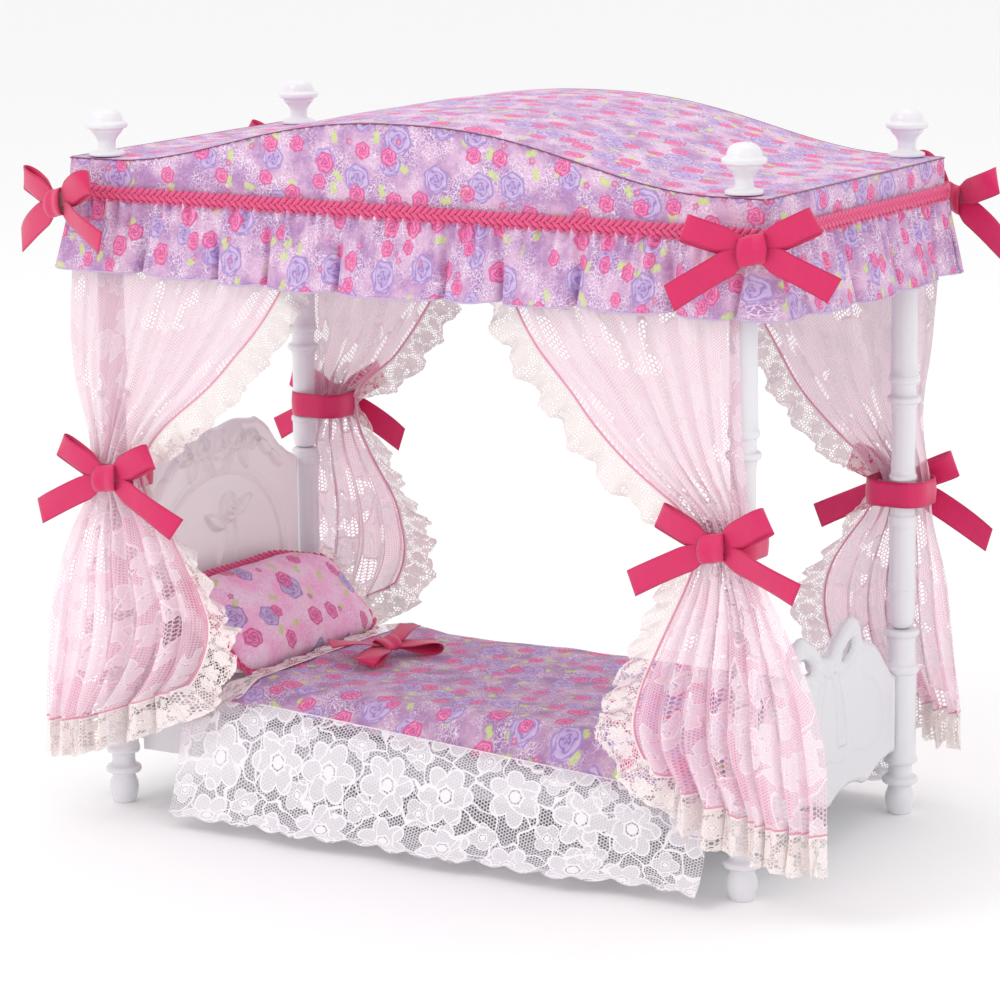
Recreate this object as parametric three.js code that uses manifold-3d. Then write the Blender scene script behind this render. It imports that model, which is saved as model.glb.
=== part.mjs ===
// Miniature four poster bed for a fashion doll, in millimetres, +Z up.
// The origin is on the floor under the middle of the bed. The headboard is at -X and the footboard at +X.
import * as THREE from 'three';
import { mergeVertices } from 'three/addons/utils/BufferGeometryUtils.js';
import Module from 'manifold-3d';

const wasm = await Module();
wasm.setup();

// ---- driving dimensions -------------------------------------------------------------------------------
const POST_X = 125;              // post centre, from the middle of the bed, along its length
const POST_Y = 60.4;             // post centre, across its width
const GAP = 0.3;                 // clearance that touching pieces keep
const HEAD_JOINT_Z = 110;        // where a head post's upper part plugs in
const FOOT_JOINT_Z = 67;         // where a foot post's upper part plugs in
const POST_TOP_Z = 222;          // top of the upper post
const PEG_R = 2.2;               // pegs under the upper posts and the finials
const BORE_R = 2.5;              // bores that the pegs drop into
const PEG_LENGTH = 7;
const BORE_DEPTH = 8;
const CANOPY_Z = 232.3;          // top of the canopy's fabric at its corners
const CANOPY_X = 136.3;          // edge of the canopy, from the middle
const CANOPY_Y = 67;
const ARCH_RISE = 17.5;          // how far the long sides of the canopy arch up
const ARCH_HALF = 118;           // where the arch dies out, from the middle
const ARCH_POWER = 1.2;
const CLOTH = 0.8;               // thickness of a plain cloth solid
const BRAID_Z = 221;             // middle of the braid, where the frill is sewn on
const BRAID_HEIGHT = 4.8;
const FRILL_BOTTOM_Z = 193;
const MATTRESS_TOP_Z = 40;
const SIDES = 12;                // facets round a turned piece

const ENDS = { head: -1, foot: 1 };
const FLANKS = { front: -1, back: 1 };

// ---- materials ----------------------------------------------------------------------------------------
const finish = (color, roughness) => new THREE.MeshStandardMaterial({ color, roughness, metalness: 0 });
const WHITE_PLASTIC = finish('#f6f6f8', 0.25);
const PRINT = finish('#c9a3d6', 0.8);
const PILLOW_PRINT = finish('#dd9bd2', 0.8);
const CURTAIN_LACE = finish('#f6c9dc', 0.85);
const CREAM_LACE = finish('#f3e9df', 0.85);
const WHITE_LACE = finish('#fafafa', 0.85);
const RIBBON = finish('#e8336f', 0.45);
const BRAID = finish('#dd3a85', 0.6);
const TICKING = finish('#f4f0f4', 0.8);

// ---- helpers ------------------------------------------------------------------------------------------
const bed = new THREE.Group();

function add(name, geometry, material) {
  const mesh = new THREE.Mesh(geometry, material);
  mesh.name = name;
  bed.add(mesh);
  return mesh;
}

function toSolid(geometry) {
  const bare = geometry.clone();
  bare.deleteAttribute('normal');
  bare.deleteAttribute('uv');
  const merged = mergeVertices(bare, 1e-4);
  return new wasm.Manifold(new wasm.Mesh({
    numProp: 3,
    vertProperties: Float32Array.from(merged.attributes.position.array),
    triVerts: Uint32Array.from(merged.index.array),
  }));
}

function toGeometry(solid) {
  const { vertProperties, triVerts } = solid.getMesh();
  const geometry = new THREE.BufferGeometry();
  geometry.setAttribute('position', new THREE.BufferAttribute(vertProperties, 3));
  geometry.setIndex(new THREE.BufferAttribute(triVerts, 1));
  geometry.computeVertexNormals();
  return geometry;
}

// A turned solid about the vertical line through (x, y); the profile is [radius, z] from axis to axis.
function turned(profile, x, y, sides = SIDES) {
  const points = profile.map(([r, z]) => new THREE.Vector2(r, z));
  const geometry = new THREE.LatheGeometry(points, sides);
  geometry.rotateX(Math.PI / 2);
  geometry.translate(x, y, 0);
  return geometry;
}

function block(x0, x1, y0, y1, z0, z1) {
  const geometry = new THREE.BoxGeometry(x1 - x0, y1 - y0, z1 - z0);
  geometry.translate((x0 + x1) / 2, (y0 + y1) / 2, (z0 + z1) / 2);
  return geometry;
}

// A closed solid through rings of points, one ring after another, with flat ends.
function lofted(rings) {
  const count = rings[0].length;
  const position = [];
  for (const ring of rings) {
    for (const point of ring) {
      position.push(...point);
    }
  }
  const middle = (ring) => [0, 1, 2].map((k) => ring.reduce((sum, point) => sum + point[k], 0) / count);
  const first = position.length / 3;
  position.push(...middle(rings[0]), ...middle(rings[rings.length - 1]));
  const index = [];
  for (let i = 0; i + 1 < rings.length; i += 1) {
    for (let j = 0; j < count; j += 1) {
      const a = i * count + j;
      const b = i * count + ((j + 1) % count);
      index.push(a, b, b + count, a, b + count, a + count);
    }
  }
  const last = (rings.length - 1) * count;
  for (let j = 0; j < count; j += 1) {
    const next = (j + 1) % count;
    index.push(first, next, j);
    index.push(first + 1, last + j, last + next);
  }
  const geometry = new THREE.BufferGeometry();
  geometry.setAttribute('position', new THREE.Float32BufferAttribute(position, 3));
  geometry.setIndex(index);
  return facingOut(geometry);
}

// Turns a closed surface's faces outwards if its enclosed volume comes out negative.
function facingOut(geometry) {
  const at = geometry.attributes.position;
  const index = geometry.index.array;
  const corner = [new THREE.Vector3(), new THREE.Vector3(), new THREE.Vector3()];
  let volume = 0;
  for (let i = 0; i < index.length; i += 3) {
    corner.forEach((vector, k) => vector.fromBufferAttribute(at, index[i + k]));
    volume += corner[0].dot(corner[1].clone().cross(corner[2]));
  }
  if (volume < 0) {
    for (let i = 0; i < index.length; i += 3) {
      [index[i], index[i + 1]] = [index[i + 1], index[i]];
    }
  }
  geometry.computeVertexNormals();
  return geometry;
}

// An outline in the XZ plane (or the YZ plane) given as [along, z], extruded through a thickness.
function plate(outline, low, high, across = 'y') {
  const shape = new THREE.Shape(outline.map(([u, v]) => new THREE.Vector2(u, v)));
  const geometry = new THREE.ExtrudeGeometry(shape, { depth: high - low, bevelEnabled: false });
  geometry.rotateX(Math.PI / 2);
  geometry.translate(0, high, 0);
  if (across === 'x') {
    geometry.rotateZ(Math.PI / 2);
    geometry.translate(low + high, 0, 0);
  }
  return geometry;
}

function series(low, high, steps) {
  return Array.from({ length: steps + 1 }, (_, i) => low + ((high - low) * i) / steps);
}

// Height of the canopy's long edge at x, a smooth arch that dies out at the corners.
function archAt(x) {
  const s = Math.min(1, Math.abs(x) / ARCH_HALF);
  return CANOPY_Z + ARCH_RISE * Math.cos((Math.PI / 2) * s ** ARCH_POWER) ** 2;
}

// ---- turned posts and finials -------------------------------------------------------------------------
const FOOT_PROFILE = [
  [0, 0], [3.9, 0], [5.25, 4], [5.1, 7.4], [4.2, 9.8], [4.3, 11], [6.3, 11.6], [6.3, 13.2], [4.2, 14.4],
  [4.2, 18.2], [6, 18.9], [6, 20.8], [5.5, 21.6], [5.5, 50.6],
];
const FOOT_COLLAR = [[6.4, 51.4], [6.4, 53.6], [5.1, 54.8], [5.1, 64.4], [6.4, 65.2]];
const HEAD_COLLAR = [[5.1, 51.4], [5.1, 103.4], [5.6, 104.2], [5.6, 106.2], [5.1, 107]];

function lowerPost(collar, jointZ) {
  const topR = collar[collar.length - 1][0];
  return [
    ...FOOT_PROFILE, ...collar, [topR, jointZ], [BORE_R, jointZ], [BORE_R, jointZ - BORE_DEPTH],
    [0, jointZ - BORE_DEPTH],
  ];
}

const SHAFT_RINGS = [
  [4.6, 103.6], [5.1, 104.4], [5.1, 107.4], [4.4, 108.2], [4.1, 119.8], [4.9, 120.4], [4.9, 121.8],
  [4.1, 122.6], [4.1, 146], [5.9, 147.4], [5.9, 149.6], [4.2, 150.6], [4.2, 154], [5.3, 154.8],
  [5.3, 156.6], [4.6, 157.4],
];

function upperPost(jointZ) {
  const start = jointZ + GAP;
  return [
    [0, start - PEG_LENGTH], [PEG_R, start - PEG_LENGTH], [PEG_R, start], [4.6, start],
    ...SHAFT_RINGS.filter(([, z]) => z > start + 1),
    [4.6, POST_TOP_Z], [BORE_R, POST_TOP_Z], [BORE_R, POST_TOP_Z - BORE_DEPTH], [0, POST_TOP_Z - BORE_DEPTH],
  ];
}

const FINIAL_SEAT_Z = CANOPY_Z + 0.7;
const FINIAL = [
  [0, POST_TOP_Z - PEG_LENGTH], [PEG_R, POST_TOP_Z - PEG_LENGTH], [PEG_R, FINIAL_SEAT_Z], [6.2, FINIAL_SEAT_Z],
  [6.2, 234.3], [3.1, 235.2], [3.1, 238.6], [5.85, 242.3], [7.35, 242.9], [7.35, 244.5], [5.85, 245],
  [5.5, 246.8], [4, 248.6], [2, 249.4], [0, 249.6],
];

for (const [endName, end] of Object.entries(ENDS)) {
  const isHead = endName === 'head';
  const collar = isHead ? HEAD_COLLAR : FOOT_COLLAR;
  const jointZ = isHead ? HEAD_JOINT_Z : FOOT_JOINT_Z;
  for (const [flankName, flank] of Object.entries(FLANKS)) {
    const x = end * POST_X;
    const y = flank * POST_Y;
    add(`post_lower_${endName}_${flankName}`, turned(lowerPost(collar, jointZ), x, y), WHITE_PLASTIC);
    add(`post_upper_${endName}_${flankName}`, turned(upperPost(jointZ), x, y), WHITE_PLASTIC);
    add(`finial_${endName}_${flankName}`, turned(FINIAL, x, y), WHITE_PLASTIC);
  }
}

// ---- headboard and footboard --------------------------------------------------------------------------
const BOARD_EDGE = POST_Y - 6.4 - GAP;      // the boards stop just clear of the posts' collars
const BOARD_HALF = 1.6;                     // half the boards' thickness

// A symmetric outline from its right half, given as [y, z] from the bottom middle to the top middle.
function mirrored(half) {
  const left = half.slice(1, -1).reverse().map(([y, z]) => [-y, z]);
  return [...half, ...left];
}

const HEADBOARD_HALF = [
  [0, 14], [20, 15], [42, 19], [BOARD_EDGE, 22], [BOARD_EDGE, 107], [47, 111.5], [42, 115.5], [35, 122],
  [28, 126.5], [17, 127.8], [0, 127.6],
];
const FOOTBOARD_HALF = [
  [0, 16.2], [3.5, 16.8], [8, 18.7], [16, 20.1], [24, 19.7], [29.5, 18.5], [33, 19], [37, 20.8], [42, 22],
  [BOARD_EDGE, 23.6], [BOARD_EDGE, 51.5], [47, 57], [43, 61.5], [36, 67], [27, 69.6], [25, 76], [19, 80],
  [12, 76.5], [5, 70], [0, 69.5],
];
add('headboard_panel', plate(mirrored(HEADBOARD_HALF), -POST_X - BOARD_HALF, -POST_X + BOARD_HALF, 'x'),
  WHITE_PLASTIC);
add('footboard_panel', plate(mirrored(FOOTBOARD_HALF), POST_X - BOARD_HALF, POST_X + BOARD_HALF, 'x'),
  WHITE_PLASTIC);

// ---- bed base and mattress ----------------------------------------------------------------------------
const RAIL_END = POST_X - BOARD_HALF - GAP;
const RAIL_Y = 56;
for (const [flankName, flank] of Object.entries(FLANKS)) {
  const inner = flank * (RAIL_Y - 3);
  const outer = flank * RAIL_Y;
  const rail = block(-RAIL_END + 4, RAIL_END - 4, Math.min(inner, outer), Math.max(inner, outer), 19, 34);
  add(`bed_rail_${flankName}`, rail, WHITE_PLASTIC);
}
add('bed_deck', block(-RAIL_END, RAIL_END, -RAIL_Y + 3 + GAP, RAIL_Y - 3 - GAP, 22, 25), WHITE_PLASTIC);

const MATTRESS_HALF = 52;
const mattressOutline = mirrored([[0, 25.4], [48, 25.4], [MATTRESS_HALF, 28], [MATTRESS_HALF, 37.5],
  [48, MATTRESS_TOP_Z], [0, MATTRESS_TOP_Z]]);
add('mattress', plate(mattressOutline, -RAIL_END + 2, RAIL_END - 2, 'x'), TICKING);

// ---- canopy frame -------------------------------------------------------------------------------------
const FRAME_BOTTOM_Z = POST_TOP_Z + GAP;
const FRAME_TOP_Z = CANOPY_Z - CLOTH - GAP;
const SOCKET_R = 5.4;

for (const [endName, end] of Object.entries(ENDS)) {
  const x = end * POST_X;
  let rail = toSolid(block(x - 2, x + 2, -POST_Y, POST_Y, FRAME_BOTTOM_Z, FRAME_TOP_Z));
  for (const flank of Object.values(FLANKS)) {
    const socket = [[0, FRAME_BOTTOM_Z], [SOCKET_R, FRAME_BOTTOM_Z], [SOCKET_R, FRAME_TOP_Z], [0, FRAME_TOP_Z]];
    const hole = [[0, 200], [BORE_R, 200], [BORE_R, 260], [0, 260]];
    rail = rail.add(toSolid(turned(socket, x, flank * POST_Y)));
    rail = rail.subtract(toSolid(turned(hole, x, flank * POST_Y)));
  }
  add(`canopy_rail_${endName}`, toGeometry(rail), WHITE_PLASTIC);
}

const ARCH_RAIL_END = POST_X - SOCKET_R - GAP;
for (const [flankName, flank] of Object.entries(FLANKS)) {
  const xs = series(-ARCH_RAIL_END, ARCH_RAIL_END, 20);
  const top = xs.map((x) => [x, archAt(x) - CLOTH - GAP]);
  const bottom = xs.map((x) => [x, archAt(x) - 8]).reverse();
  const rail = plate([...bottom.reverse(), ...top.reverse()], flank * POST_Y - 1.5, flank * POST_Y + 1.5);
  add(`canopy_rail_${flankName}`, rail, WHITE_PLASTIC);
}

// ---- canopy fabric ------------------------------------------------------------------------------------
// The roof is one arched sheet with a hole over each post for the finial's peg.
const roofRings = series(-CANOPY_X, CANOPY_X, 24).map((x) => {
  const z = archAt(x);
  return [[x, -CANOPY_Y, z - CLOTH], [x, CANOPY_Y, z - CLOTH], [x, CANOPY_Y, z], [x, -CANOPY_Y, z]];
});
let roof = toSolid(lofted(roofRings));
for (const end of Object.values(ENDS)) {
  for (const flank of Object.values(FLANKS)) {
    const hole = [[0, 200], [BORE_R, 200], [BORE_R, 260], [0, 260]];
    roof = roof.subtract(toSolid(turned(hole, end * POST_X, flank * POST_Y)));
  }
}
add('canopy_roof', toGeometry(roof), PRINT);

// The side panels hang from the roof's edge down to the braid.
for (const [flankName, flank] of Object.entries(FLANKS)) {
  const xs = series(-CANOPY_X, CANOPY_X, 24);
  const top = xs.map((x) => [x, archAt(x) - CLOTH - GAP]).reverse();
  const y0 = Math.min(flank * CANOPY_Y, flank * (CANOPY_Y - CLOTH));
  const outline = [[-CANOPY_X, BRAID_Z], [CANOPY_X, BRAID_Z], ...top];
  add(`valance_${flankName}`, plate(outline, y0, y0 + CLOTH), PRINT);
}
for (const [endName, end] of Object.entries(ENDS)) {
  const x0 = Math.min(end * CANOPY_X, end * (CANOPY_X - CLOTH));
  const half = CANOPY_Y - CLOTH - GAP;
  const panel = block(x0, x0 + CLOTH, -half, half, BRAID_Z, CANOPY_Z - CLOTH - GAP);
  add(`valance_${endName}`, panel, PRINT);
}

// Each frill is a wedge: thin where it is sewn on, wide at its gathered hem.
const FRILL_TOP_Z = BRAID_Z - GAP;
const FLARE = 9;                 // how far the hem stands out from the side panel
function frillRing(along, inTop, outTop, inHem, outHem, place) {
  return [
    place(along[0], inHem, FRILL_BOTTOM_Z), place(along[0], outHem, FRILL_BOTTOM_Z),
    place(along[1], outTop, FRILL_TOP_Z), place(along[1], inTop, FRILL_TOP_Z),
  ];
}
for (const [flankName, flank] of Object.entries(FLANKS)) {
  const place = (x, y, z) => [x, flank * y, z];
  const rings = [-1, 1].map((side) => frillRing(
    [side * (CANOPY_X + FLARE - 1), side * CANOPY_X],
    CANOPY_Y - CLOTH, CANOPY_Y - 0.2, CANOPY_Y + 3, CANOPY_Y + FLARE, place,
  ));
  add(`frill_${flankName}`, lofted(rings), PRINT);
}
for (const [endName, end] of Object.entries(ENDS)) {
  const place = (y, x, z) => [end * x, y, z];
  const half = CANOPY_Y - CLOTH - GAP;
  const rings = [-1, 1].map((side) => frillRing(
    [side * half, side * half],
    CANOPY_X - CLOTH, CANOPY_X - 0.2, CANOPY_X + 1, CANOPY_X + FLARE, place,
  ));
  add(`frill_${endName}`, lofted(rings), PRINT);
}

// One length of braid runs right round the canopy over the frill's seam.
const braidInner = { x: CANOPY_X + 0.8, y: CANOPY_Y + 0.8 };
const BRAID_THICK = 1.6;
const braidShape = new THREE.Shape();
braidShape.moveTo(-braidInner.x - BRAID_THICK, -braidInner.y - BRAID_THICK);
braidShape.lineTo(braidInner.x + BRAID_THICK, -braidInner.y - BRAID_THICK);
braidShape.lineTo(braidInner.x + BRAID_THICK, braidInner.y + BRAID_THICK);
braidShape.lineTo(-braidInner.x - BRAID_THICK, braidInner.y + BRAID_THICK);
const braidHole = new THREE.Path();
braidHole.moveTo(-braidInner.x, -braidInner.y);
braidHole.lineTo(-braidInner.x, braidInner.y);
braidHole.lineTo(braidInner.x, braidInner.y);
braidHole.lineTo(braidInner.x, -braidInner.y);
braidShape.holes.push(braidHole);
const braid = new THREE.ExtrudeGeometry(braidShape, { depth: BRAID_HEIGHT, bevelEnabled: false });
braid.translate(0, 0, BRAID_Z - BRAID_HEIGHT / 2 + 0.1);
add('canopy_braid', braid, BRAID);

// ---- ribbon bows --------------------------------------------------------------------------------------
// Right half of a bow, seen from its front, from the top of the knot to the bottom of the knot.
const BOW_HALF = [
  [0, 4.2], [4, 3.6], [17.5, 13], [22.8, 4.2], [10, -0.6], [29.5, -8.6], [25, -17], [5, -5.2], [0, -5],
];
const BOW_DEPTH = 4;

function bow(x, y, z, facing) {
  const left = BOW_HALF.slice(1, -1).reverse().map(([u, v]) => [-u, v]);
  const outline = [...BOW_HALF, ...left].reverse();
  const geometry = plate(outline, -BOW_DEPTH / 2, BOW_DEPTH / 2);
  geometry.rotateZ(facing);
  geometry.translate(x, y, z);
  return geometry;
}

const CORNER_BOW_TURN = THREE.MathUtils.degToRad(22);   // how far a corner bow turns round its corner
const CORNER_BOW_IN = 1;                                // the bow's middle from the canopy's end, inwards
const CORNER_BOW_OFF = 8.5;                             // and from the canopy's side, outwards
for (const [endName, end] of Object.entries(ENDS)) {
  for (const [flankName, flank] of Object.entries(FLANKS)) {
    const turn = -end * flank * CORNER_BOW_TURN;
    const x = end * (CANOPY_X - CORNER_BOW_IN);
    const y = flank * (CANOPY_Y + CORNER_BOW_OFF);
    add(`corner_bow_${endName}_${flankName}`, bow(x, y, 217, turn), RIBBON);
  }
}

// ---- curtains, their lace trims and their ties --------------------------------------------------------
// Each curtain is a row of stations down its height, written for the front right-hand (foot) post:
// [z, outer edge x, inner edge x, y of the side next the bed, y of the outer side], all positive numbers.
// tieZ is the height of its tie and knotX how far from the bed's middle the tie's bow sits.
const TIE_HALF_X = 10.6;         // half the gathered curtain's width where it is tied
const TIE_INNER_Y = 65.9;        // the gathered curtain's depth there, just outside the post
const TIE_OUTER_Y = 73.8;
const TIE_HEIGHT = 9;

function waist(tieZ) {
  return [tieZ + 7, tieZ - 7].map((z) => [z, POST_X + TIE_HALF_X, POST_X - TIE_HALF_X, TIE_INNER_Y, TIE_OUTER_Y]);
}

const CURTAINS = {
  head_front: {
    tieZ: 121,
    knotX: 116,
    upper: [[212, 135, 39, 65.5, 66.7], [194, 135, 42, 65.6, 68.6], [171, 137, 57, 65.6, 70.5],
      [152, 136, 78, 65.6, 72], [137, 133, 102, 65.7, 73]],
    lower: [[100, 140, 98, 67, 76.5], [80, 144, 86, 67.3, 80], [55, 146.5, 86, 67.8, 84.5],
      [44, 146.5, 93, 68.2, 87], [33, 146.5, 106, 68.5, 88]],
  },
  head_back: {
    tieZ: 126.7,
    knotX: 122,
    upper: [[212, 131, 41, 65.5, 66.7], [194, 131, 44, 65.6, 68.6], [171, 132, 67, 65.6, 70.5],
      [152, 133, 81, 65.6, 72], [143, 134, 96, 65.7, 73]],
    lower: [[106, 141, 98, 67, 76.5], [88, 145, 90, 67.3, 80], [66, 147, 86, 67.6, 84.5],
      [50, 147, 95, 68.2, 87], [38, 147, 107, 68.5, 88]],
  },
  foot_front: {
    tieZ: 120.5,
    knotX: 123.5,
    upper: [[212, 128, 34, 65.5, 66.7], [194, 128, 35, 65.6, 68.6], [174, 128.5, 43, 65.6, 70.5],
      [156, 129, 62, 65.6, 72], [138, 131, 86, 65.7, 73]],
    lower: [[102, 141, 103, 67, 77], [84, 151, 96, 69, 81], [66, 158, 88, 71, 86],
      [46, 161, 92, 74, 91], [38, 162, 100, 76, 93], [31, 162, 110, 77.5, 94.5]],
  },
  foot_back: {
    tieZ: 114.9,
    knotX: 115,
    upper: [[212, 134, 40, 65.5, 66.7], [194, 134, 42, 65.6, 68.6], [174, 132.5, 57, 65.6, 70.5],
      [156, 131, 66, 65.6, 72], [137, 131, 84, 65.7, 73]],
    lower: [[99, 137, 100, 67, 77], [83, 139, 91, 67.4, 81], [66, 141, 87, 68, 86],
      [48, 142, 90, 70, 90], [33, 142, 102, 73, 93]],
  },
};
const CURTAIN_SIDES = 12;
const TRIM_WIDTH = 12;
const TRIM_THICK = 1.2;

function curtainRing([z, outer, inner, y0, y1], end, flank) {
  const middleX = (outer + inner) / 2;
  const middleY = (y0 + y1) / 2;
  return Array.from({ length: CURTAIN_SIDES }, (_, i) => {
    const angle = (2 * Math.PI * i) / CURTAIN_SIDES;
    return [
      end * (middleX + ((outer - inner) / 2) * Math.cos(angle)),
      flank * (middleY + ((y1 - y0) / 2) * Math.sin(angle)),
      z,
    ];
  });
}

// The trim follows the curtain's inner edge and then its bottom hem, as a flat strip of lace.
function trimRings(stations, end, flank) {
  const strip = [];
  for (const [z, , inner, y0, y1] of stations) {
    const atTie = Math.abs(inner - (POST_X - TIE_HALF_X)) < 0.01;
    strip.push({ x: inner - GAP, z, y: (y0 + y1) / 2, along: [-1, 0], width: atTie ? 0.7 : TRIM_WIDTH });
  }
  const [z, outer, inner, y0, y1] = stations[stations.length - 1];
  const y = (y0 + y1) / 2;
  strip.push({ x: inner - GAP, z: z - GAP, y, along: [-0.7, -0.7], width: TRIM_WIDTH });
  strip.push({ x: (inner + outer) / 2, z: z - GAP, y, along: [0, -1], width: TRIM_WIDTH });
  strip.push({ x: outer, z: z - GAP, y, along: [0, -1], width: TRIM_WIDTH });
  return strip.map((s) => [[0, -1], [0, 1], [1, 1], [1, -1]].map(([w, side]) => [
    end * (s.x + s.along[0] * s.width * w),
    flank * (s.y + (side * TRIM_THICK) / 2),
    s.z + s.along[1] * s.width * w,
  ]));
}

function squarish(halfX, halfY, steps) {
  return series(0, 2 * Math.PI, steps).slice(0, -1).map((angle) => new THREE.Vector2(
    halfX * Math.sign(Math.cos(angle)) * Math.sqrt(Math.abs(Math.cos(angle))),
    halfY * Math.sign(Math.sin(angle)) * Math.sqrt(Math.abs(Math.sin(angle))),
  ));
}

// The tie is a band round the post and the gathered curtain, with its bow on the outer side.
const BAND_HALF_X = 12.6;
const BAND_HALF_Y = 10;
const BAND_MIDDLE_Y = 64.7;
function curtainTie(x, knotX, flank, z) {
  const band = new THREE.Shape(squarish(BAND_HALF_X + CLOTH, BAND_HALF_Y + CLOTH, 24));
  band.holes.push(new THREE.Path(squarish(BAND_HALF_X, BAND_HALF_Y, 24)));
  const ring = new THREE.ExtrudeGeometry(band, { depth: TIE_HEIGHT, bevelEnabled: false });
  ring.translate(x, flank * BAND_MIDDLE_Y, z - TIE_HEIGHT / 2);
  const knotY = BAND_MIDDLE_Y + BAND_HALF_Y + BOW_DEPTH / 2 + 0.2;
  return toGeometry(toSolid(ring).add(toSolid(bow(knotX, flank * knotY, z, 0))));
}

for (const [name, { tieZ, knotX, upper, lower }] of Object.entries(CURTAINS)) {
  const [endName, flankName] = name.split('_');
  const end = ENDS[endName];
  const flank = FLANKS[flankName];
  const stations = [...upper, ...waist(tieZ), ...lower];
  add(`curtain_${name}`, lofted(stations.map((s) => curtainRing(s, end, flank))), CURTAIN_LACE);
  add(`curtain_trim_${name}`, lofted(trimRings(stations, end, flank)), CREAM_LACE);
  add(`curtain_tie_${name}`, curtainTie(end * POST_X, end * knotX, flank, tieZ), RIBBON);
}

// ---- pillow -------------------------------------------------------------------------------------------
// The pillow leans back on the headboard. Braid runs round its edge, with a lace ruffle at each short end.
const PILLOW = { x: -102, y: 9, z: 59.5, length: 88, height: 42, thick: 15, lean: THREE.MathUtils.degToRad(47) };

function leanBack(geometry) {
  geometry.rotateY(PILLOW.lean);
  geometry.translate(PILLOW.x, PILLOW.y, PILLOW.z);
  return geometry;
}

const cushion = new THREE.SphereGeometry(1, 16, 8);
cushion.rotateX(Math.PI / 2);
cushion.scale(PILLOW.height / 2, PILLOW.length / 2, PILLOW.thick / 2);
add('pillow', leanBack(cushion), PILLOW_PRINT);

function edgeRing(inset, width, thick) {
  const outer = squarish(PILLOW.height / 2 + inset + width, PILLOW.length / 2 + inset + width, 24);
  const inner = squarish(PILLOW.height / 2 + inset, PILLOW.length / 2 + inset, 24);
  const shape = new THREE.Shape(outer);
  shape.holes.push(new THREE.Path(inner));
  const ring = new THREE.ExtrudeGeometry(shape, { depth: thick, bevelEnabled: false });
  ring.translate(0, 0, -thick / 2);
  return leanBack(ring);
}
const PILLOW_BRAID = { width: 2, thick: 3 };
add('pillow_braid', edgeRing(GAP, PILLOW_BRAID.width, PILLOW_BRAID.thick), BRAID);

const RUFFLE = { half: 14, width: 8, thick: 1.2 };
for (const [flankName, flank] of Object.entries(FLANKS)) {
  const near = PILLOW.length / 2 + PILLOW_BRAID.width + 3 * GAP;
  const y0 = Math.min(flank * near, flank * (near + RUFFLE.width));
  const strip = block(-RUFFLE.half, RUFFLE.half, y0, y0 + RUFFLE.width, -RUFFLE.thick / 2, RUFFLE.thick / 2);
  add(`pillow_ruffle_${flankName}`, leanBack(strip), WHITE_LACE);
}

// ---- duvet and bed skirt ------------------------------------------------------------------------------
// The duvet's head half turns back about the line across its middle; the foot half stays put.
const DUVET = { headX: -76, foldX: 0, footX: 117, halfY: 63, top: 48.5, edgeZ: 42 };

function duvetOutline() {
  return mirrored([[0, MATTRESS_TOP_Z + 0.6], [50, MATTRESS_TOP_Z + 0.6], [57, 36], [DUVET.halfY - 2, 35],
    [DUVET.halfY, 37], [59, DUVET.edgeZ + 2], [50, 46.5], [30, DUVET.top - 0.4], [0, DUVET.top]]);
}
add('duvet_head', plate(duvetOutline(), DUVET.headX, DUVET.foldX - GAP, 'x'), PRINT);
add('duvet_foot', plate(duvetOutline(), DUVET.foldX + GAP, DUVET.footX, 'x'), PRINT);

// A flat strip of white lace is sewn along the duvet's head edge, and carries a small flat bow.
const laceX = DUVET.headX - GAP;
const laceHalf = mirrored([[0, 42], [50, 42], [58, 39], [60, 41], [50, 45], [0, 46.5]]);
add('duvet_head_lace', plate(laceHalf, laceX - 8, laceX, 'x'), WHITE_LACE);

const flatBow = plate([...BOW_HALF, ...BOW_HALF.slice(1, -1).reverse().map(([u, v]) => [-u, v])].reverse(), -1, 1);
flatBow.rotateX(-Math.PI / 2);
flatBow.rotateZ(THREE.MathUtils.degToRad(76));
flatBow.translate(-56, 8, 49.9);
add('duvet_bow', flatBow, RIBBON);

// The wide lace skirt hangs from the edge of the bed: [x, y at the top, y at the hem].
const SKIRT = [[-86, 63.6, 80], [-70, 63.6, 85], [40, 63.6, 82], [85, 63.6, 75], [117, 63.6, 71.5]];
const SKIRT_THICK = 1.5;
const SKIRT_TOP_Z = 41;
const SKIRT_HEM_Z = 5;
for (const [flankName, flank] of Object.entries(FLANKS)) {
  const rings = SKIRT.map(([x, top, hem]) => [
    [x, flank * top, SKIRT_TOP_Z], [x, flank * (top + SKIRT_THICK), SKIRT_TOP_Z],
    [x, flank * (hem + SKIRT_THICK), SKIRT_HEM_Z], [x, flank * hem, SKIRT_HEM_Z],
  ]);
  add(`bed_skirt_${flankName}`, lofted(rings), WHITE_LACE);
}

export default bed;
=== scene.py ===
"""Miniature four poster bed for a fashion doll: turned plastic frame, printed canopy, lace curtains, bedding.

Shapes are worked out in millimetres as numpy grids and turned to metres when a mesh is made.
+X runs from the headboard to the footboard, the front is at -Y and +Z is up.
"""

import math

import bmesh
import bpy
import numpy as np
from mathutils import Matrix, Vector


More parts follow.
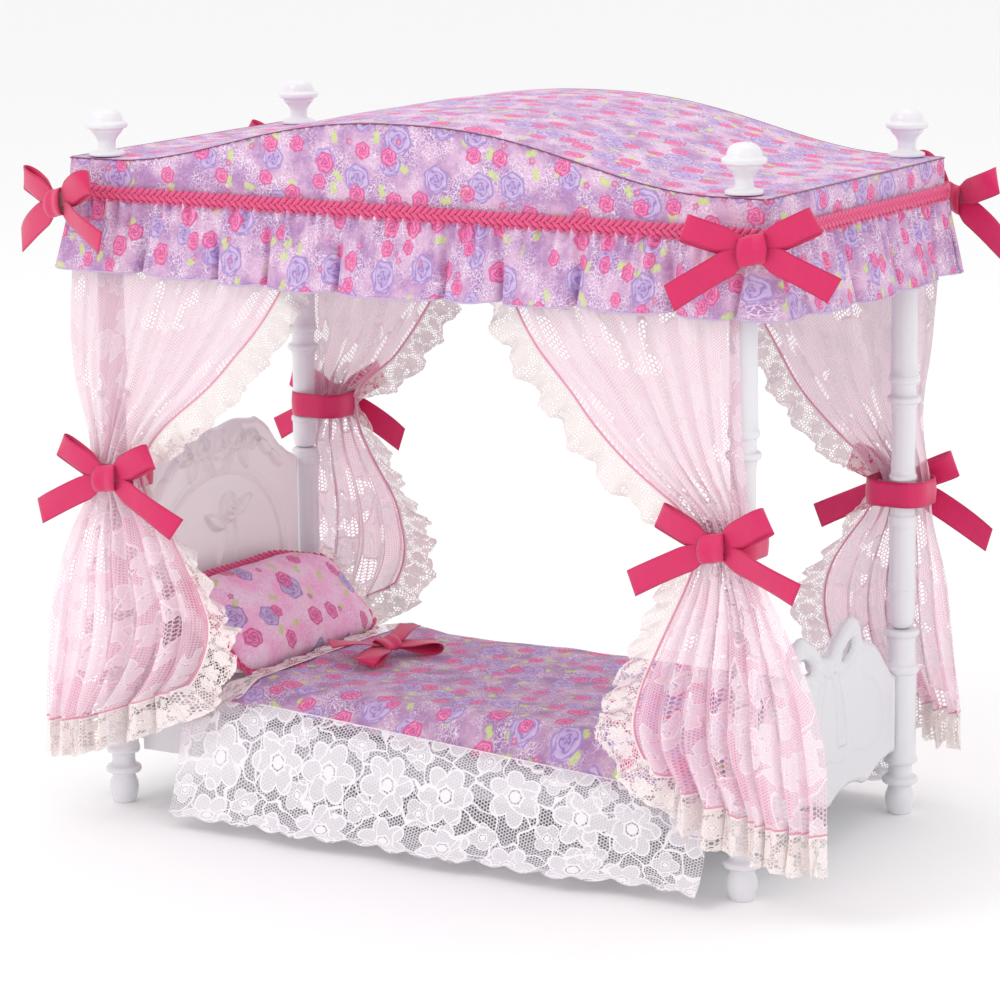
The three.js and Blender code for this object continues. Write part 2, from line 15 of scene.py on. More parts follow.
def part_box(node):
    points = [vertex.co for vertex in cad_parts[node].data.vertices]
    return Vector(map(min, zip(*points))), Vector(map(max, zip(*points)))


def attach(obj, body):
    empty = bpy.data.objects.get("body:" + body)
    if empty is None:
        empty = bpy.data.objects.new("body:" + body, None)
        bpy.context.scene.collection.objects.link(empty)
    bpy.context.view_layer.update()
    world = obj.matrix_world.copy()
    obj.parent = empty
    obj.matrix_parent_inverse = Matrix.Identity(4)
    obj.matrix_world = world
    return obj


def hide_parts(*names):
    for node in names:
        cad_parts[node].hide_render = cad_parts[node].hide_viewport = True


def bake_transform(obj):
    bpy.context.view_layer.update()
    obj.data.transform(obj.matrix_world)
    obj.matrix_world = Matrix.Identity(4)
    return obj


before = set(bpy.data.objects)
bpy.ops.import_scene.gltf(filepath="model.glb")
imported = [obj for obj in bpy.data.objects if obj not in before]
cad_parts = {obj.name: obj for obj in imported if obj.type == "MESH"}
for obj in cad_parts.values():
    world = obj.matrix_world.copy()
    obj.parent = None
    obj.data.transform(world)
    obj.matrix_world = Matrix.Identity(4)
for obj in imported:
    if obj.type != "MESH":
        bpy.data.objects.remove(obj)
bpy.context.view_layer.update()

bl_info = {
    "name": "Miniature four poster bed",
    "version": (1, 0, 0),
    "blender": (4, 5, 0),
    "location": "View3D > Sidebar > Doll bed",
    "description": "Builds a doll-size four poster bed with canopy, lace curtains and bedding",
    "category": "Add Mesh",
}

MM = 0.001
TAU = 2 * math.pi


def box_mm(node):
    """The lowest and highest corner of a CAD node, in millimetres."""
    low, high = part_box(node)
    return np.array(low) / MM, np.array(high) / MM


ROOF_LOW, ROOF_HIGH = box_mm("canopy_roof")
POST_LOW, POST_HIGH = box_mm("post_upper_foot_back")
CANOPY_X = float(ROOF_HIGH[0])           # edge of the canopy from the middle
CANOPY_Y = float(ROOF_HIGH[1])
POST_X = float(POST_LOW[0] + POST_HIGH[0]) / 2
POST_Y = float(POST_LOW[1] + POST_HIGH[1]) / 2
BRAID_Z = float(sum(b[2] for b in box_mm("canopy_braid"))) / 2
TRIM_WIDTH = 12.5                        # the cream lace from its seam to its edge
PRINT_THICK = 0.5                        # the canopy's cotton, in mm as all sizes here
FRILL_THICK = 0.45
OVERLOCK = (0.42, 0.35)                  # half-axes of the stitched edge along the frill's hem
SEAM_THREAD = 0.28                       # radius of the dark thread along the roof's seam
CANOPY_BOW_Z = 217.5
CANOPY_BOW_TURN = math.radians(22)       # the corner bows look a little round the corner
KNOT_Y = 76.6                            # the curtain bows' knots from the bed's middle
BAND_Y = 65.2                            # middle of the ribbon round post and curtain
RIBBON_THICK = 0.3
FLOOR_GAP = 3.2                          # the skirt's hem stays this far off the ground
SKIRT_DROP = 46.0                        # the skirt lace from its seam to its scallops
DUVET_HEAD, DUVET_FOOT = -76, 118        # the quilt's two ends along x
UP = (0.0, 0.0, 1.0)
MATTRESS_TOP = float(box_mm("mattress")[1][2])
ENDS = {"head": -1, "foot": 1}
FLANKS = {"front": -1, "back": 1}
CORNERS = [(e, f) for e in ENDS for f in FLANKS]


# ---- settings a user would change -------------------------------------------------------------------------
def colour_setting(name, description, hex_value):
    """A colour picker whose default is an sRGB hex value turned to linear."""
    return bpy.props.FloatVectorProperty(
        name=name, description=description, subtype="COLOR", size=3, min=0, max=1,
        default=linear(hex_value)[:3])


def linear(hex_value):
    """An sRGB hex colour as linear red, green, blue and alpha 1."""
    channels = [int(hex_value[i:i + 2], 16) / 255 for i in (1, 3, 5)]
    return tuple(c / 12.92 if c <= 0.04045 else ((c + 0.055) / 1.055) ** 2.4 for c in channels) + (1.0,)


def rgba(colour, factor=1.0):
    """A linear colour with alpha 1, its red, green and blue times a factor."""
    return tuple(c * factor for c in colour[:3]) + (1.0,)


class DOLLBED_PG_cloth(bpy.types.PropertyGroup):
    """Colours and sizes of the cloth, lace and ribbon."""

    print_ground: colour_setting("Print ground", "Lavender ground of the canopy and duvet cotton", "#B487B9")
    pillow_ground: colour_setting("Pillow ground", "Orchid ground of the pillow cotton", "#FFB0DA")
    rose: colour_setting("Rose", "Light petals of the printed pink roses", "#F48DBC")
    ribbon: colour_setting("Ribbon", "Satin ribbon of the bows and ties", "#E01E64")
    braid: colour_setting("Braid", "Fishtail braid on the canopy and pillow", "#F4558F")
    curtain: colour_setting("Curtain lace", "Ground of the pink curtain lace", "#FFD3E5")
    trim: colour_setting("Curtain trim", "Yarn of the cream edging lace", "#FCF2F0")
    ribbon_width: bpy.props.FloatProperty(
        name="Ribbon width", description="Width of the bows' ribbon in millimetres", default=9.0, min=5, max=12)
    rose_spacing: bpy.props.FloatProperty(
        name="Rose spacing", description="Average distance between printed pink roses in millimetres",
        default=13.5, min=8, max=30)


class DOLLBED_PG_frame(bpy.types.PropertyGroup):
    """Colours of the moulded frame."""

    plastic: colour_setting("Frame plastic", "White polystyrene of posts and boards", "#ECEAEE")
    facets: bpy.props.IntProperty(
        name="Facets", description="Facets round a turned post", default=48, min=16, max=96)


# ---- surface helpers --------------------------------------------------------------------------------------
def ease(low, high, x):
    """Smooth step: 0 below low, 1 above high, 3t^2 - 2t^3 between."""
    t = np.clip((x - low) / (high - low), 0, 1)
    return t * t * (3 - 2 * t)


def ripple(x, y, period, seed, waves=7):
    """Soft unevenness from -1 to 1: a sum of plane waves of about the given period in seeded directions."""
    draw = np.random.default_rng(seed)
    total = 0
    for _ in range(waves):
        angle, phase = draw.uniform(0, TAU, 2)
        size = period * draw.uniform(0.7, 1.5)
        total = total + np.sin(TAU * (x * np.cos(angle) + y * np.sin(angle)) / size + phase)
    return total / waves ** 0.5 / 1.6


def through(heights, values, z):
    """A smooth curve through given stations: linear between them, then averaged over a short window."""
    heights, values = np.asarray(heights, float), np.asarray(values, float)
    order = np.argsort(heights)
    spread = np.linspace(-6, 6, 7)
    return np.mean([np.interp(z + d, heights[order], values[order]) for d in spread], axis=0)


def rounded(profile, passes=2):
    """Cuts the corners of an open outline, keeping its ends: each pass puts points at 1/4 and 3/4 of each side."""
    points = np.asarray(profile, float)
    for _ in range(passes):
        a, b = points[:-1], points[1:]
        cut = np.stack([0.75 * a + 0.25 * b, 0.25 * a + 0.75 * b], 1).reshape(-1, points.shape[1])
        points = np.vstack([points[:1], cut, points[-1:]])
    return points


def lengths_along(points):
    """Distance along a path at each of its points."""
    steps = np.linalg.norm(np.diff(points, axis=0), axis=1)
    return np.concatenate([[0], np.cumsum(steps)])


def unit(vectors):
    """Rows of vectors, each divided by its length."""
    return vectors / np.linalg.norm(vectors, axis=1)[:, None]


def heading(loop):
    """Direction of travel at each point of a closed path whose last point repeats its first."""
    ahead = np.gradient(loop, axis=0)
    ahead[0] = ahead[-1] = loop[1] - loop[-2]
    return ahead


def box_path(half_x, half_y, radius, spacing):
    """Points, outward normals and distances round a rectangle with round corners, closed, in the XY plane."""
    corners = []
    for k, (sx, sy) in enumerate([(1, 1), (-1, 1), (-1, -1), (1, -1)]):
        angles = np.linspace(k * math.pi / 2, (k + 1) * math.pi / 2, 9)
        arc = np.stack([np.cos(angles), np.sin(angles)], 1) * radius
        corners.append(arc + [sx * (half_x - radius), sy * (half_y - radius)])
    outline = np.vstack(corners + [corners[0][:1]])
    s = lengths_along(outline)
    at = np.linspace(0, s[-1], int(s[-1] / spacing) + 1)
    points = np.stack([np.interp(at, s, outline[:, k]) for k in (0, 1)], 1)
    ahead = heading(points)
    return points, unit(np.stack([ahead[:, 1], -ahead[:, 0]], 1)), at


def make(name, parts, material, body="root", stands_for=(), thickness=0.0, closed=False, subdivide=0):
    """Makes one piece from grids of points (rows, columns, 3) with cloth coordinates (rows, columns, 2), in mm.

    Points that meet are merged, so wrapped grids close on themselves. A closed shape's faces are turned outwards.
    """
    vertices, quads, cloth, base = [], [], [], 0
    for points, uv in parts:
        rows, columns = points.shape[:2]
        index = np.arange(rows * columns).reshape(rows, columns) + base
        corners = [index[:-1, :-1], index[1:, :-1], index[1:, 1:], index[:-1, 1:]]
        quads.append(np.stack(corners, -1).reshape(-1, 4))
        vertices.append(points.reshape(-1, 3))
        cloth.append(uv.reshape(-1, 2))
        base += rows * columns
    vertices, quads, cloth = np.vstack(vertices) * MM, np.vstack(quads), np.vstack(cloth)
    mesh = bpy.data.meshes.new(name)
    mesh.from_pydata(vertices.tolist(), [], quads.tolist())
    layer = mesh.uv_layers.new(name="cloth")
    layer.data.foreach_set("uv", cloth[quads.ravel()].ravel())
    work = bmesh.new()
    work.from_mesh(mesh)
    bmesh.ops.remove_doubles(work, verts=work.verts, dist=2e-6)
    bmesh.ops.dissolve_degenerate(work, edges=work.edges, dist=1e-7)
    if closed:
        bmesh.ops.recalc_face_normals(work, faces=work.faces)
    work.to_mesh(mesh)
    work.free()
    mesh.shade_smooth()
    mesh.materials.append(material)
    piece = bpy.data.objects.new(name, mesh)
    bpy.context.scene.collection.objects.link(piece)
    if thickness:
        wall = piece.modifiers.new("cloth thickness", "SOLIDIFY")
        wall.thickness = thickness * MM
        wall.offset = 0
    if subdivide:
        finer = piece.modifiers.new("finer", "SUBSURF")
        finer.levels = finer.render_levels = subdivide
    if body:
        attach(piece, body)
    if stands_for:
        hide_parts(*stands_for)
    return piece


def grid_of(*fields):
    """A grid of points from one array for each of its coordinates, spread to a common shape."""
    return np.stack(np.broadcast_arrays(*fields), -1)


def flat_uv(across, along):
    """Cloth coordinates in mm from two arrays of distances, spread over the grid."""
    return grid_of(across, along).astype(float)


def round_cord(path, side, up, width, height, sides):
    """A closed round bar along a path: an ellipse with half-axes width and height in the side and up directions.

    Cloth coordinates are 0 to 2 round the bar and millimetres along it.
    """
    turn = np.linspace(0, TAU, sides + 1)[None, :, None]
    ring = np.cos(turn) * width * side[:, None, :] + np.sin(turn) * height * up[:, None, :]
    return path[:, None, :] + ring, flat_uv(np.linspace(0, 2, sides + 1)[None, :], lengths_along(path)[:, None])


# ---- materials --------------------------------------------------------------------------------------------
def put(tree, kind, *inputs, sockets=None, **settings):
    """Adds a shader node: inputs fill its sockets in order, and sockets by name or index.

    A node given as a value means its first output.
    """
    node = tree.nodes.new("ShaderNode" + kind)
    for key, value in settings.items():
        setattr(node, key, value)
    for key, value in list(enumerate(inputs)) + list((sockets or {}).items()):
        if isinstance(value, bpy.types.Node):
            value = value.outputs[0]
        if isinstance(value, bpy.types.NodeSocket):
            tree.links.new(value, node.inputs[key])
        elif value is not None:
            node.inputs[key].default_value = value
    return node


def new_material(name, roughness, **constants):
    """A material with a Principled shader whose unchanging values sit on its own sockets."""
    material = bpy.data.materials.new(name)
    material.use_nodes = True
    tree = material.node_tree
    shader = tree.nodes["Principled BSDF"]
    shader.inputs["Roughness"].default_value = roughness
    for socket, value in constants.items():
        shader.inputs[socket.replace("_", " ")].default_value = value
    return material, tree, shader


def dress(tree, shader, colour, height, strength, depth=0.0002):
    """Sends a colour to the shader, and a height as a bump that is depth metres high at full strength."""
    bump = put(tree, "Bump", sockets={"Strength": strength, "Distance": depth, "Height": height})
    tree.links.new(colour, shader.inputs["Base Color"])
    tree.links.new(bump.outputs[0], shader.inputs["Normal"])


def mixed(tree, mask, under, over):
    """Colour under with colour over laid on it where mask is 1."""
    return put(tree, "Mix", data_type="RGBA", sockets={0: mask, 6: under, 7: over}).outputs[2]


def spots(tree, cloth, spacing, seed, jitter):
    """Scattered motif centres on a jittered square lattice.

    Returns the distance in mm, the angle, and two random values for each motif.
    """
    shifted = put(tree, "VectorMath", cloth, (seed * 17.3, seed * 9.1, 0), operation="ADD")
    lattice = put(tree, "VectorMath", shifted, (1 / spacing,) * 3, operation="MULTIPLY")
    cells = put(tree, "TexVoronoi", lattice, voronoi_dimensions="2D",
                sockets={"Scale": 1.0, "Randomness": jitter})
    local = put(tree, "VectorMath", lattice, cells.outputs["Position"], operation="SUBTRACT")
    parts = put(tree, "SeparateXYZ", local)
    distance = put(tree, "Math", cells.outputs["Distance"], spacing, operation="MULTIPLY")
    angle = put(tree, "Math", parts.outputs[1], parts.outputs[0], operation="ARCTAN2")
    chance = put(tree, "SeparateColor", cells.outputs["Color"])
    return distance, angle, chance.outputs[0], chance.outputs[1]


def petal_edge(tree, distance, angle, petals, depth, turn=None):
    """Distance made longer between petals, so that a plain threshold draws a flower with that many petals."""
    swing = put(tree, "Math", angle, float(petals), turn or 0.0, operation="MULTIPLY_ADD")
    wave = put(tree, "Math", swing, operation="COSINE")
    grown = put(tree, "Math", wave, -depth, 1.0, operation="MULTIPLY_ADD")
    return put(tree, "Math", distance, grown, operation="MULTIPLY")


def inside(tree, value, limit, soft):
    """1 where value is below limit, falling to 0 over the soft width."""
    return put(tree, "MapRange", value, limit - soft / 2, limit + soft / 2, 1.0, 0.0,
               interpolation_type="SMOOTHSTEP")


def times(tree, a, b):
    """The part where two masks overlap, or a mask thinned by a plain number."""
    return put(tree, "Math", a, b, operation="MULTIPLY")


def printed_cotton(name, ground, pale, rose, spread=1.0):
    """Plain-weave cotton, printed with pink roses, lilac roses, leaves, tiny flowers and white lace scrolls.

    The ground drifts between the colours ground and pale; spread above 1 sets the motifs further apart.
    """
    # Matt cotton: high roughness and a little sheen from the loose fibres.
    material, tree, shader = new_material(name, 0.8, Sheen_Weight=0.1, Specular_IOR_Level=0.2)
    cloth = put(tree, "UVMap", uv_map="cloth").outputs[0]
    blotch = put(tree, "TexNoise", cloth, sockets={"Scale": 0.09, "Detail": 3.0})
    tone = put(tree, "MapRange", blotch.outputs[0], 0.4, 0.62, 0.0, 1.0)
    colour = mixed(tree, tone, rgba(ground), rgba(pale))

    # White lace scrolls: thin curly lines, in clouds a few millimetres across.
    warp = put(tree, "TexNoise", cloth, sockets={"Scale": 0.5, "Detail": 1.0})
    bent = put(tree, "VectorMath", warp.outputs[1], (3.4,) * 3, cloth, operation="MULTIPLY_ADD")
    curls = put(tree, "TexVoronoi", bent, voronoi_dimensions="2D", feature="DISTANCE_TO_EDGE",
                sockets={"Scale": 0.75})
    line = inside(tree, curls.outputs[0], 0.09, 0.14)
    cloud = put(tree, "TexNoise", cloth, sockets={"Scale": 0.1, "Detail": 1.0})
    where = put(tree, "MapRange", cloud.outputs[0], 0.4, 0.58, 0.1, 0.8)
    colour = mixed(tree, times(tree, line, where), colour, linear("#F6EEF9"))

    # Loose pairs of yellow-green leaves, 4 mm long.
    distance, angle, chance, turn = spots(tree, cloth, 8.6 * spread, 3, 0.9)
    spun = put(tree, "Math", turn, TAU, angle, operation="MULTIPLY_ADD")
    lobe = put(tree, "Math", put(tree, "Math", spun, operation="COSINE"), operation="ABSOLUTE")
    reach = put(tree, "Math", lobe, 0.55, operation="ADD")
    leaf_size = put(tree, "Math", distance, reach, operation="DIVIDE")
    present = times(tree, inside(tree, chance, 0.42, 0.02), 0.8)
    colour = mixed(tree, times(tree, inside(tree, leaf_size, 1.35, 0.8), present), colour, linear("#CEDF86"))

    # Large lilac roses, 8 to 12 mm across.
    distance, angle, chance, turn = spots(tree, cloth, 16.0 * spread, 5, 0.75)
    colour = rose_over(tree, colour, distance, angle, chance, turn, 5.0, 0.7, linear("#D2BCE2"), linear("#9878C0"))
    # Pink roses, 5 to 8 mm across.
    rose_gap = bpy.context.scene.dollbed_cloth.rose_spacing * spread
    distance, angle, chance, turn = spots(tree, cloth, rose_gap, 1, 0.8)
    colour = rose_over(tree, colour, distance, angle, chance, turn, 3.3, 0.85, rgba(rose), linear("#D23583"))

    # Tiny magenta flowers with an orange eye, 2.5 mm across.
    distance, angle, chance, turn = spots(tree, cloth, 10.0 * spread, 8, 0.9)
    present = inside(tree, chance, 0.34, 0.02)
    bloom = inside(tree, petal_edge(tree, distance, angle, 5, 0.16), 1.2, 0.8)
    colour = mixed(tree, times(tree, bloom, times(tree, present, 0.85)), colour, linear("#CE6DB0"))
    colour = mixed(tree, times(tree, inside(tree, distance, 0.4, 0.4), present), colour, linear("#F2B878"))

    # The ink takes unevenly on the threads: small pale and plum flecks over everything.
    fleck = put(tree, "TexNoise", cloth, sockets={"Scale": 0.75, "Detail": 4.0, "Roughness": 0.65})
    light_flecks = put(tree, "MapRange", fleck.outputs[0], 0.44, 0.3, 0.0, 0.5)
    colour = mixed(tree, light_flecks, colour, linear("#F2DEEF"))
    dark_flecks = put(tree, "MapRange", fleck.outputs[0], 0.54, 0.72, 0.0, 0.34)
    colour = mixed(tree, dark_flecks, colour, linear("#A272B0"))

    # Weave: 0.45 mm threads, drawn about twice as coarse as fine lawn so that they show.
    weave = put(tree, "TexWave", cloth, sockets={"Scale": 0.7, "Distortion": 0.4})
    cross = put(tree, "TexWave", cloth, bands_direction="Y", sockets={"Scale": 0.7, "Distortion": 0.4})
    threads = put(tree, "Math", weave.outputs[1], cross.outputs[1], operation="ADD")
    dress(tree, shader, colour, threads, 0.12)
    return material


def rose_over(tree, colour, distance, angle, chance, turn, radius, presence, light, dark):
    """Lays roses of the given radius in mm on a colour; presence is the share of the places that have one.

    A rose is a wavy disc with a thin dark outline. Its petals are a loose spiral with a three-fold wobble: thin
    dark folds between light petals, darker towards the heart.
    """
    size = put(tree, "MapRange", turn, 0.0, 1.0, 0.84, 1.3)
    distance = put(tree, "Math", distance, size, operation="MULTIPLY")
    present = inside(tree, chance, presence, 0.02)
    spin = put(tree, "Math", turn, TAU, operation="MULTIPLY")
    bloom = petal_edge(tree, distance, angle, 6, 0.06, spin)
    disc = inside(tree, bloom, radius, 0.5)
    outline = times(tree, near(tree, bloom, radius * 0.94, 0.42), 0.75)
    coil = put(tree, "Math", distance, -1 / (radius * 0.36), operation="MULTIPLY")
    spiral = put(tree, "Math", angle, 1.0 / TAU, coil, operation="MULTIPLY_ADD")
    petals = put(tree, "Math", angle, 3.0, put(tree, "Math", distance, 2.0, operation="MULTIPLY"),
                 operation="MULTIPLY_ADD")
    wobble = put(tree, "Math", put(tree, "Math", petals, operation="SINE"), 0.24, spiral, operation="MULTIPLY_ADD")
    fold = put(tree, "Math", put(tree, "Math", wobble, operation="FRACT"), 0.5, operation="SUBTRACT")
    crest = put(tree, "MapRange", put(tree, "Math", fold, operation="ABSOLUTE"), 0.02, 0.26, 0.9, 0.0)
    heart = put(tree, "MapRange", distance, radius * 0.1, radius * 0.75, 0.5, 0.0)
    folds = most(tree, put(tree, "Math", crest, heart, operation="ADD", use_clamp=True), outline)
    petal_colour = mixed(tree, folds, light, dark)
    return mixed(tree, times(tree, times(tree, disc, present), 0.9), colour, petal_colour)


def net_mask(tree, cloth, cell, bar):
    """Hexagonal net: 1 on the threads. Three cosine waves at 60 degrees peak in the middle of each hole.

    The waves add up to between -1.5 and 3, and the threads are where they stay below bar.
    """
    turned = put(tree, "SeparateXYZ", cloth)
    waves = []
    for along, up in ((1.0, 0.0), (0.5, 0.866), (-0.5, 0.866)):
        part = put(tree, "Math", turned.outputs[0], along * TAU / cell, operation="MULTIPLY")
        phase = put(tree, "Math", turned.outputs[1], up * TAU / cell, part, operation="MULTIPLY_ADD")
        waves.append(put(tree, "Math", phase, operation="COSINE"))
    total = put(tree, "Math", put(tree, "Math", waves[0], waves[1], operation="ADD"), waves[2], operation="ADD")
    return inside(tree, total, bar, 0.7)


def near(tree, value, target, half):
    """1 where value is within half of target: draws a cord along an outline."""
    gap = put(tree, "Math", put(tree, "Math", value, target, operation="SUBTRACT"), operation="ABSOLUTE")
    return inside(tree, gap, half, half)


def most(tree, *masks):
    """The greatest of several masks."""
    total = masks[0]
    for mask in masks[1:]:
        total = put(tree, "Math", total, mask, operation="MAXIMUM")
    return total


def petal_ring(tree, distance, angle, spin, petals, size):
    """A flower of separate oval petals round a disc: returns its petals, the cord round each, and the disc.

    The angle is folded into one petal's share; an oval is centred at 0.64 of the flower's size.
    """
    share = put(tree, "Math", angle, petals / TAU, spin, operation="MULTIPLY_ADD")
    folded = put(tree, "Math", put(tree, "Math", share, operation="FRACT"), 0.5, operation="SUBTRACT")
    arc = put(tree, "Math", put(tree, "Math", folded, TAU / petals, operation="MULTIPLY"), distance,
              operation="MULTIPLY")
    out = put(tree, "Math", put(tree, "Math", distance, 0.64 * size, operation="SUBTRACT"), 1 / (0.36 * size),
              operation="MULTIPLY")
    over = put(tree, "Math", arc, 1 / (size * 0.8 * math.pi / petals * 0.78), operation="MULTIPLY")
    oval = put(tree, "VectorMath", put(tree, "CombineXYZ", out, over), operation="LENGTH").outputs["Value"]
    return inside(tree, oval, 0.95, 0.1), near(tree, oval, 1.0, 0.13), inside(tree, distance, size * 0.2, 0.3)


def lace_finish(tree, shader, cover, worked, yarn, ground, canopy_shade=0.0):
    """Sends the lace's masks to the shader: cover is how much yarn there is, worked is the raised part.

    The colour is painted darker towards the canopy, from 100 mm up, by the share given as the last argument:
    painted shade for the canopy's shadow.
    """
    shade = mixed(tree, worked, rgba(ground), rgba(yarn))
    # Painted shade: the canopy's shadow, drawn as colour that darkens with height.
    if canopy_shade:
        place = put(tree, "SeparateXYZ", put(tree, "TexCoord").outputs["Object"])
        height = put(tree, "MapRange", place.outputs[2], 0.1, 0.17, 0.0, canopy_shade)
        shade = mixed(tree, height, shade, rgba(ground, 0.68))
    dress(tree, shader, shade, cover, 0.35, 0.0004)
    tree.links.new(cover.outputs[0], shader.inputs["Alpha"])


def curtain_lace(name, yarn, ground):
    """Soft raschel lace: a close worked ground with long leaf-shaped windows of open net, and corded flowers."""
    # Nylon yarn: matt, and about two thirds of the light stops at the worked ground.
    material, tree, shader = new_material(name, 0.75, Sheen_Weight=0.1, Specular_IOR_Level=0.3)
    cloth = put(tree, "UVMap", uv_map="cloth").outputs[0]
    # The net's cells are about 1.4 mm across; the ground's rows are 0.9 mm apart.
    net = times(tree, net_mask(tree, cloth, 1.4, -0.5), 0.8)
    close = put(tree, "MapRange", net_mask(tree, cloth, 0.9, 0.5), 0.0, 1.0, 0.4, 0.74)
    long_way = put(tree, "VectorMath", cloth, (1.0, 0.52, 1.0), operation="MULTIPLY")
    distance, angle, chance, turn = spots(tree, long_way, 11.5, 2, 0.75)
    leaf_shape = petal_edge(tree, distance, angle, 3, 0.28, times(tree, turn, TAU))
    present = inside(tree, chance, 0.6, 0.02)
    window = times(tree, inside(tree, leaf_shape, 4.7, 0.5), present)
    cord = times(tree, near(tree, leaf_shape, 4.85, 0.3), present)
    # The pattern's yarns wander by up to 1.5 mm, so no two flowers are alike.
    wander = put(tree, "TexNoise", cloth, sockets={"Scale": 0.16, "Detail": 1.0})
    bent = put(tree, "VectorMath", wander.outputs[1], (6.0, 9.0, 0.0), cloth, operation="MULTIPLY_ADD")
    distance, angle, _, turn = spots(tree, bent, 15.0, 7, 0.8)
    petals, rim, disc = petal_ring(tree, distance, angle, turn, 5, 6.0)
    strands = put(tree, "SeparateXYZ", bent)
    warp = put(tree, "Math", times(tree, strands.outputs[0], TAU / 3.2), operation="SINE")
    strand = times(tree, inside(tree, put(tree, "Math", warp, operation="ABSOLUTE"), 0.1, 0.12), 0.8)
    open_part = put(tree, "Mix", data_type="FLOAT", sockets={0: window, 2: close, 3: net})
    flower = most(tree, times(tree, petals, 0.68), times(tree, rim, 0.86), times(tree, disc, 0.72))
    cover = most(tree, open_part, times(tree, cord, 0.92), flower, strand)
    raised = most(tree, times(tree, cord, 0.8), flower, times(tree, strand, 0.6))
    # 0.42 is the painted shade of the canopy's shadow towards the heading.
    lace_finish(tree, shader, cover, raised, yarn, ground, 0.42)
    return material


def flower_lace(name, yarn, ground, cell, spacing, size, petals, hem, fill, canopy_shade):
    """Flat galloon lace: open net with corded flowers and leaves, and a closely worked scalloped hem.

    In mm: cell of the net, spacing and radius of the flowers, and hem, the distance from the seam to the edge.
    fill is how closely the petals are worked, and the last argument is how much painted shade darkens the yarn
    towards the canopy, for the canopy's shadow.
    """
    # Cotton yarn: matt; filled petals let a little light through between their threads.
    material, tree, shader = new_material(name, 0.8, Sheen_Weight=0.1, Specular_IOR_Level=0.25)
    cloth = put(tree, "UVMap", uv_map="cloth").outputs[0]
    net = times(tree, net_mask(tree, cloth, cell, -0.35), 0.85)
    distance, angle, _, turn = spots(tree, cloth, spacing, 6, 0.35)
    oval, rim, disc = petal_ring(tree, distance, angle, turn, petals, size)
    far = put(tree, "VectorMath", cloth, (spacing * 0.5, spacing * 0.5, 0), operation="ADD")
    distance, angle, _, turn = spots(tree, far, spacing, 6, 0.35)
    small_oval, small_rim, small_disc = petal_ring(tree, distance, angle, turn, 4, size * 0.52)
    warp = put(tree, "TexNoise", cloth, sockets={"Scale": 2.2 / spacing, "Detail": 1.0})
    bent = put(tree, "VectorMath", warp.outputs[1], (spacing * 0.55,) * 3, cloth, operation="MULTIPLY_ADD")
    stems = put(tree, "TexVoronoi", bent, voronoi_dimensions="2D", feature="DISTANCE_TO_EDGE",
                sockets={"Scale": 2.4 / spacing})
    sprig = inside(tree, stems.outputs[0], 0.04, 0.03)
    parts = put(tree, "SeparateXYZ", cloth)
    step = size * 0.55
    wave = put(tree, "Math", times(tree, parts.outputs[0], math.pi / step), operation="SINE")
    dip = put(tree, "Math", put(tree, "Math", wave, operation="ABSOLUTE"), size * 0.16, parts.outputs[1],
              operation="MULTIPLY_ADD")
    rows = most(tree, near(tree, dip, hem - size * 0.1, size * 0.05),
                near(tree, dip, hem - size * 0.3, size * 0.04), near(tree, parts.outputs[1], 0.5, 0.5))
    worked = most(tree, rim, small_rim, sprig, disc, small_disc, rows)
    filled = most(tree, times(tree, oval, fill), times(tree, small_oval, fill * 0.93))
    cover = most(tree, net, filled, times(tree, worked, 0.98))
    lace_finish(tree, shader, cover, most(tree, worked, filled), yarn, ground, canopy_shade)
    return material


def moulded_polystyrene(name, white):
    """Injection-moulded white polystyrene: glossy, with a faint waviness from the mould."""
    material, tree, shader = new_material(name, 0.24, IOR=1.59)
    place = put(tree, "TexCoord").outputs["Object"]
    wave = put(tree, "TexNoise", place, sockets={"Scale": 90.0, "Detail": 2.0})
    tone = put(tree, "TexNoise", place, sockets={"Scale": 14.0, "Detail": 1.0})
    cooler = rgba([c * share for c, share in zip(white, (0.96, 0.962, 0.975))])
    dress(tree, shader, mixed(tree, tone, rgba(white), cooler), wave, 0.05, 0.0003)
    return material


def ribbed_ribbon(name, colour):
    """Satin ribbon with fine ribs across its width, a soft sheen and slightly darker selvedges."""
    material, tree, shader = new_material(name, 0.42, Sheen_Weight=0.25, Specular_IOR_Level=0.4)
    cloth = put(tree, "UVMap", uv_map="cloth").outputs[0]
    # The ribs are about 0.35 mm apart, drawn at 0.6 mm so that they show.
    ribs = put(tree, "TexWave", cloth, bands_direction="Y", sockets={"Scale": 0.53})
    grain = put(tree, "TexNoise", cloth, sockets={"Scale": 0.4, "Detail": 3.0})
    mottled = mixed(tree, grain, rgba(colour), rgba(colour, 0.86))
    parts = put(tree, "SeparateXYZ", cloth)
    offset = put(tree, "Math", parts.outputs[0], 0.5, operation="SUBTRACT")
    edge = put(tree, "Math", offset, operation="ABSOLUTE")
    selvedge = put(tree, "MapRange", edge, 0.43, 0.47, 0.0, 0.5)
    dress(tree, shader, mixed(tree, selvedge, mottled, rgba(colour, 0.7)), ribs.outputs[1], 0.3)
    return material


def yarn(name, colour):
    """Viscose yarn of a braid: fine twist lines and a soft shine."""
    material, tree, shader = new_material(name, 0.45, Sheen_Weight=0.3)
    cloth = put(tree, "UVMap", uv_map="cloth").outputs[0]
    twist = put(tree, "TexWave", cloth, bands_direction="DIAGONAL", sockets={"Scale": 1.1})
    shade = mixed(tree, twist.outputs[1], rgba(colour, 0.74), rgba(colour))
    dress(tree, shader, shade, twist.outputs[1], 0.35)
    return material


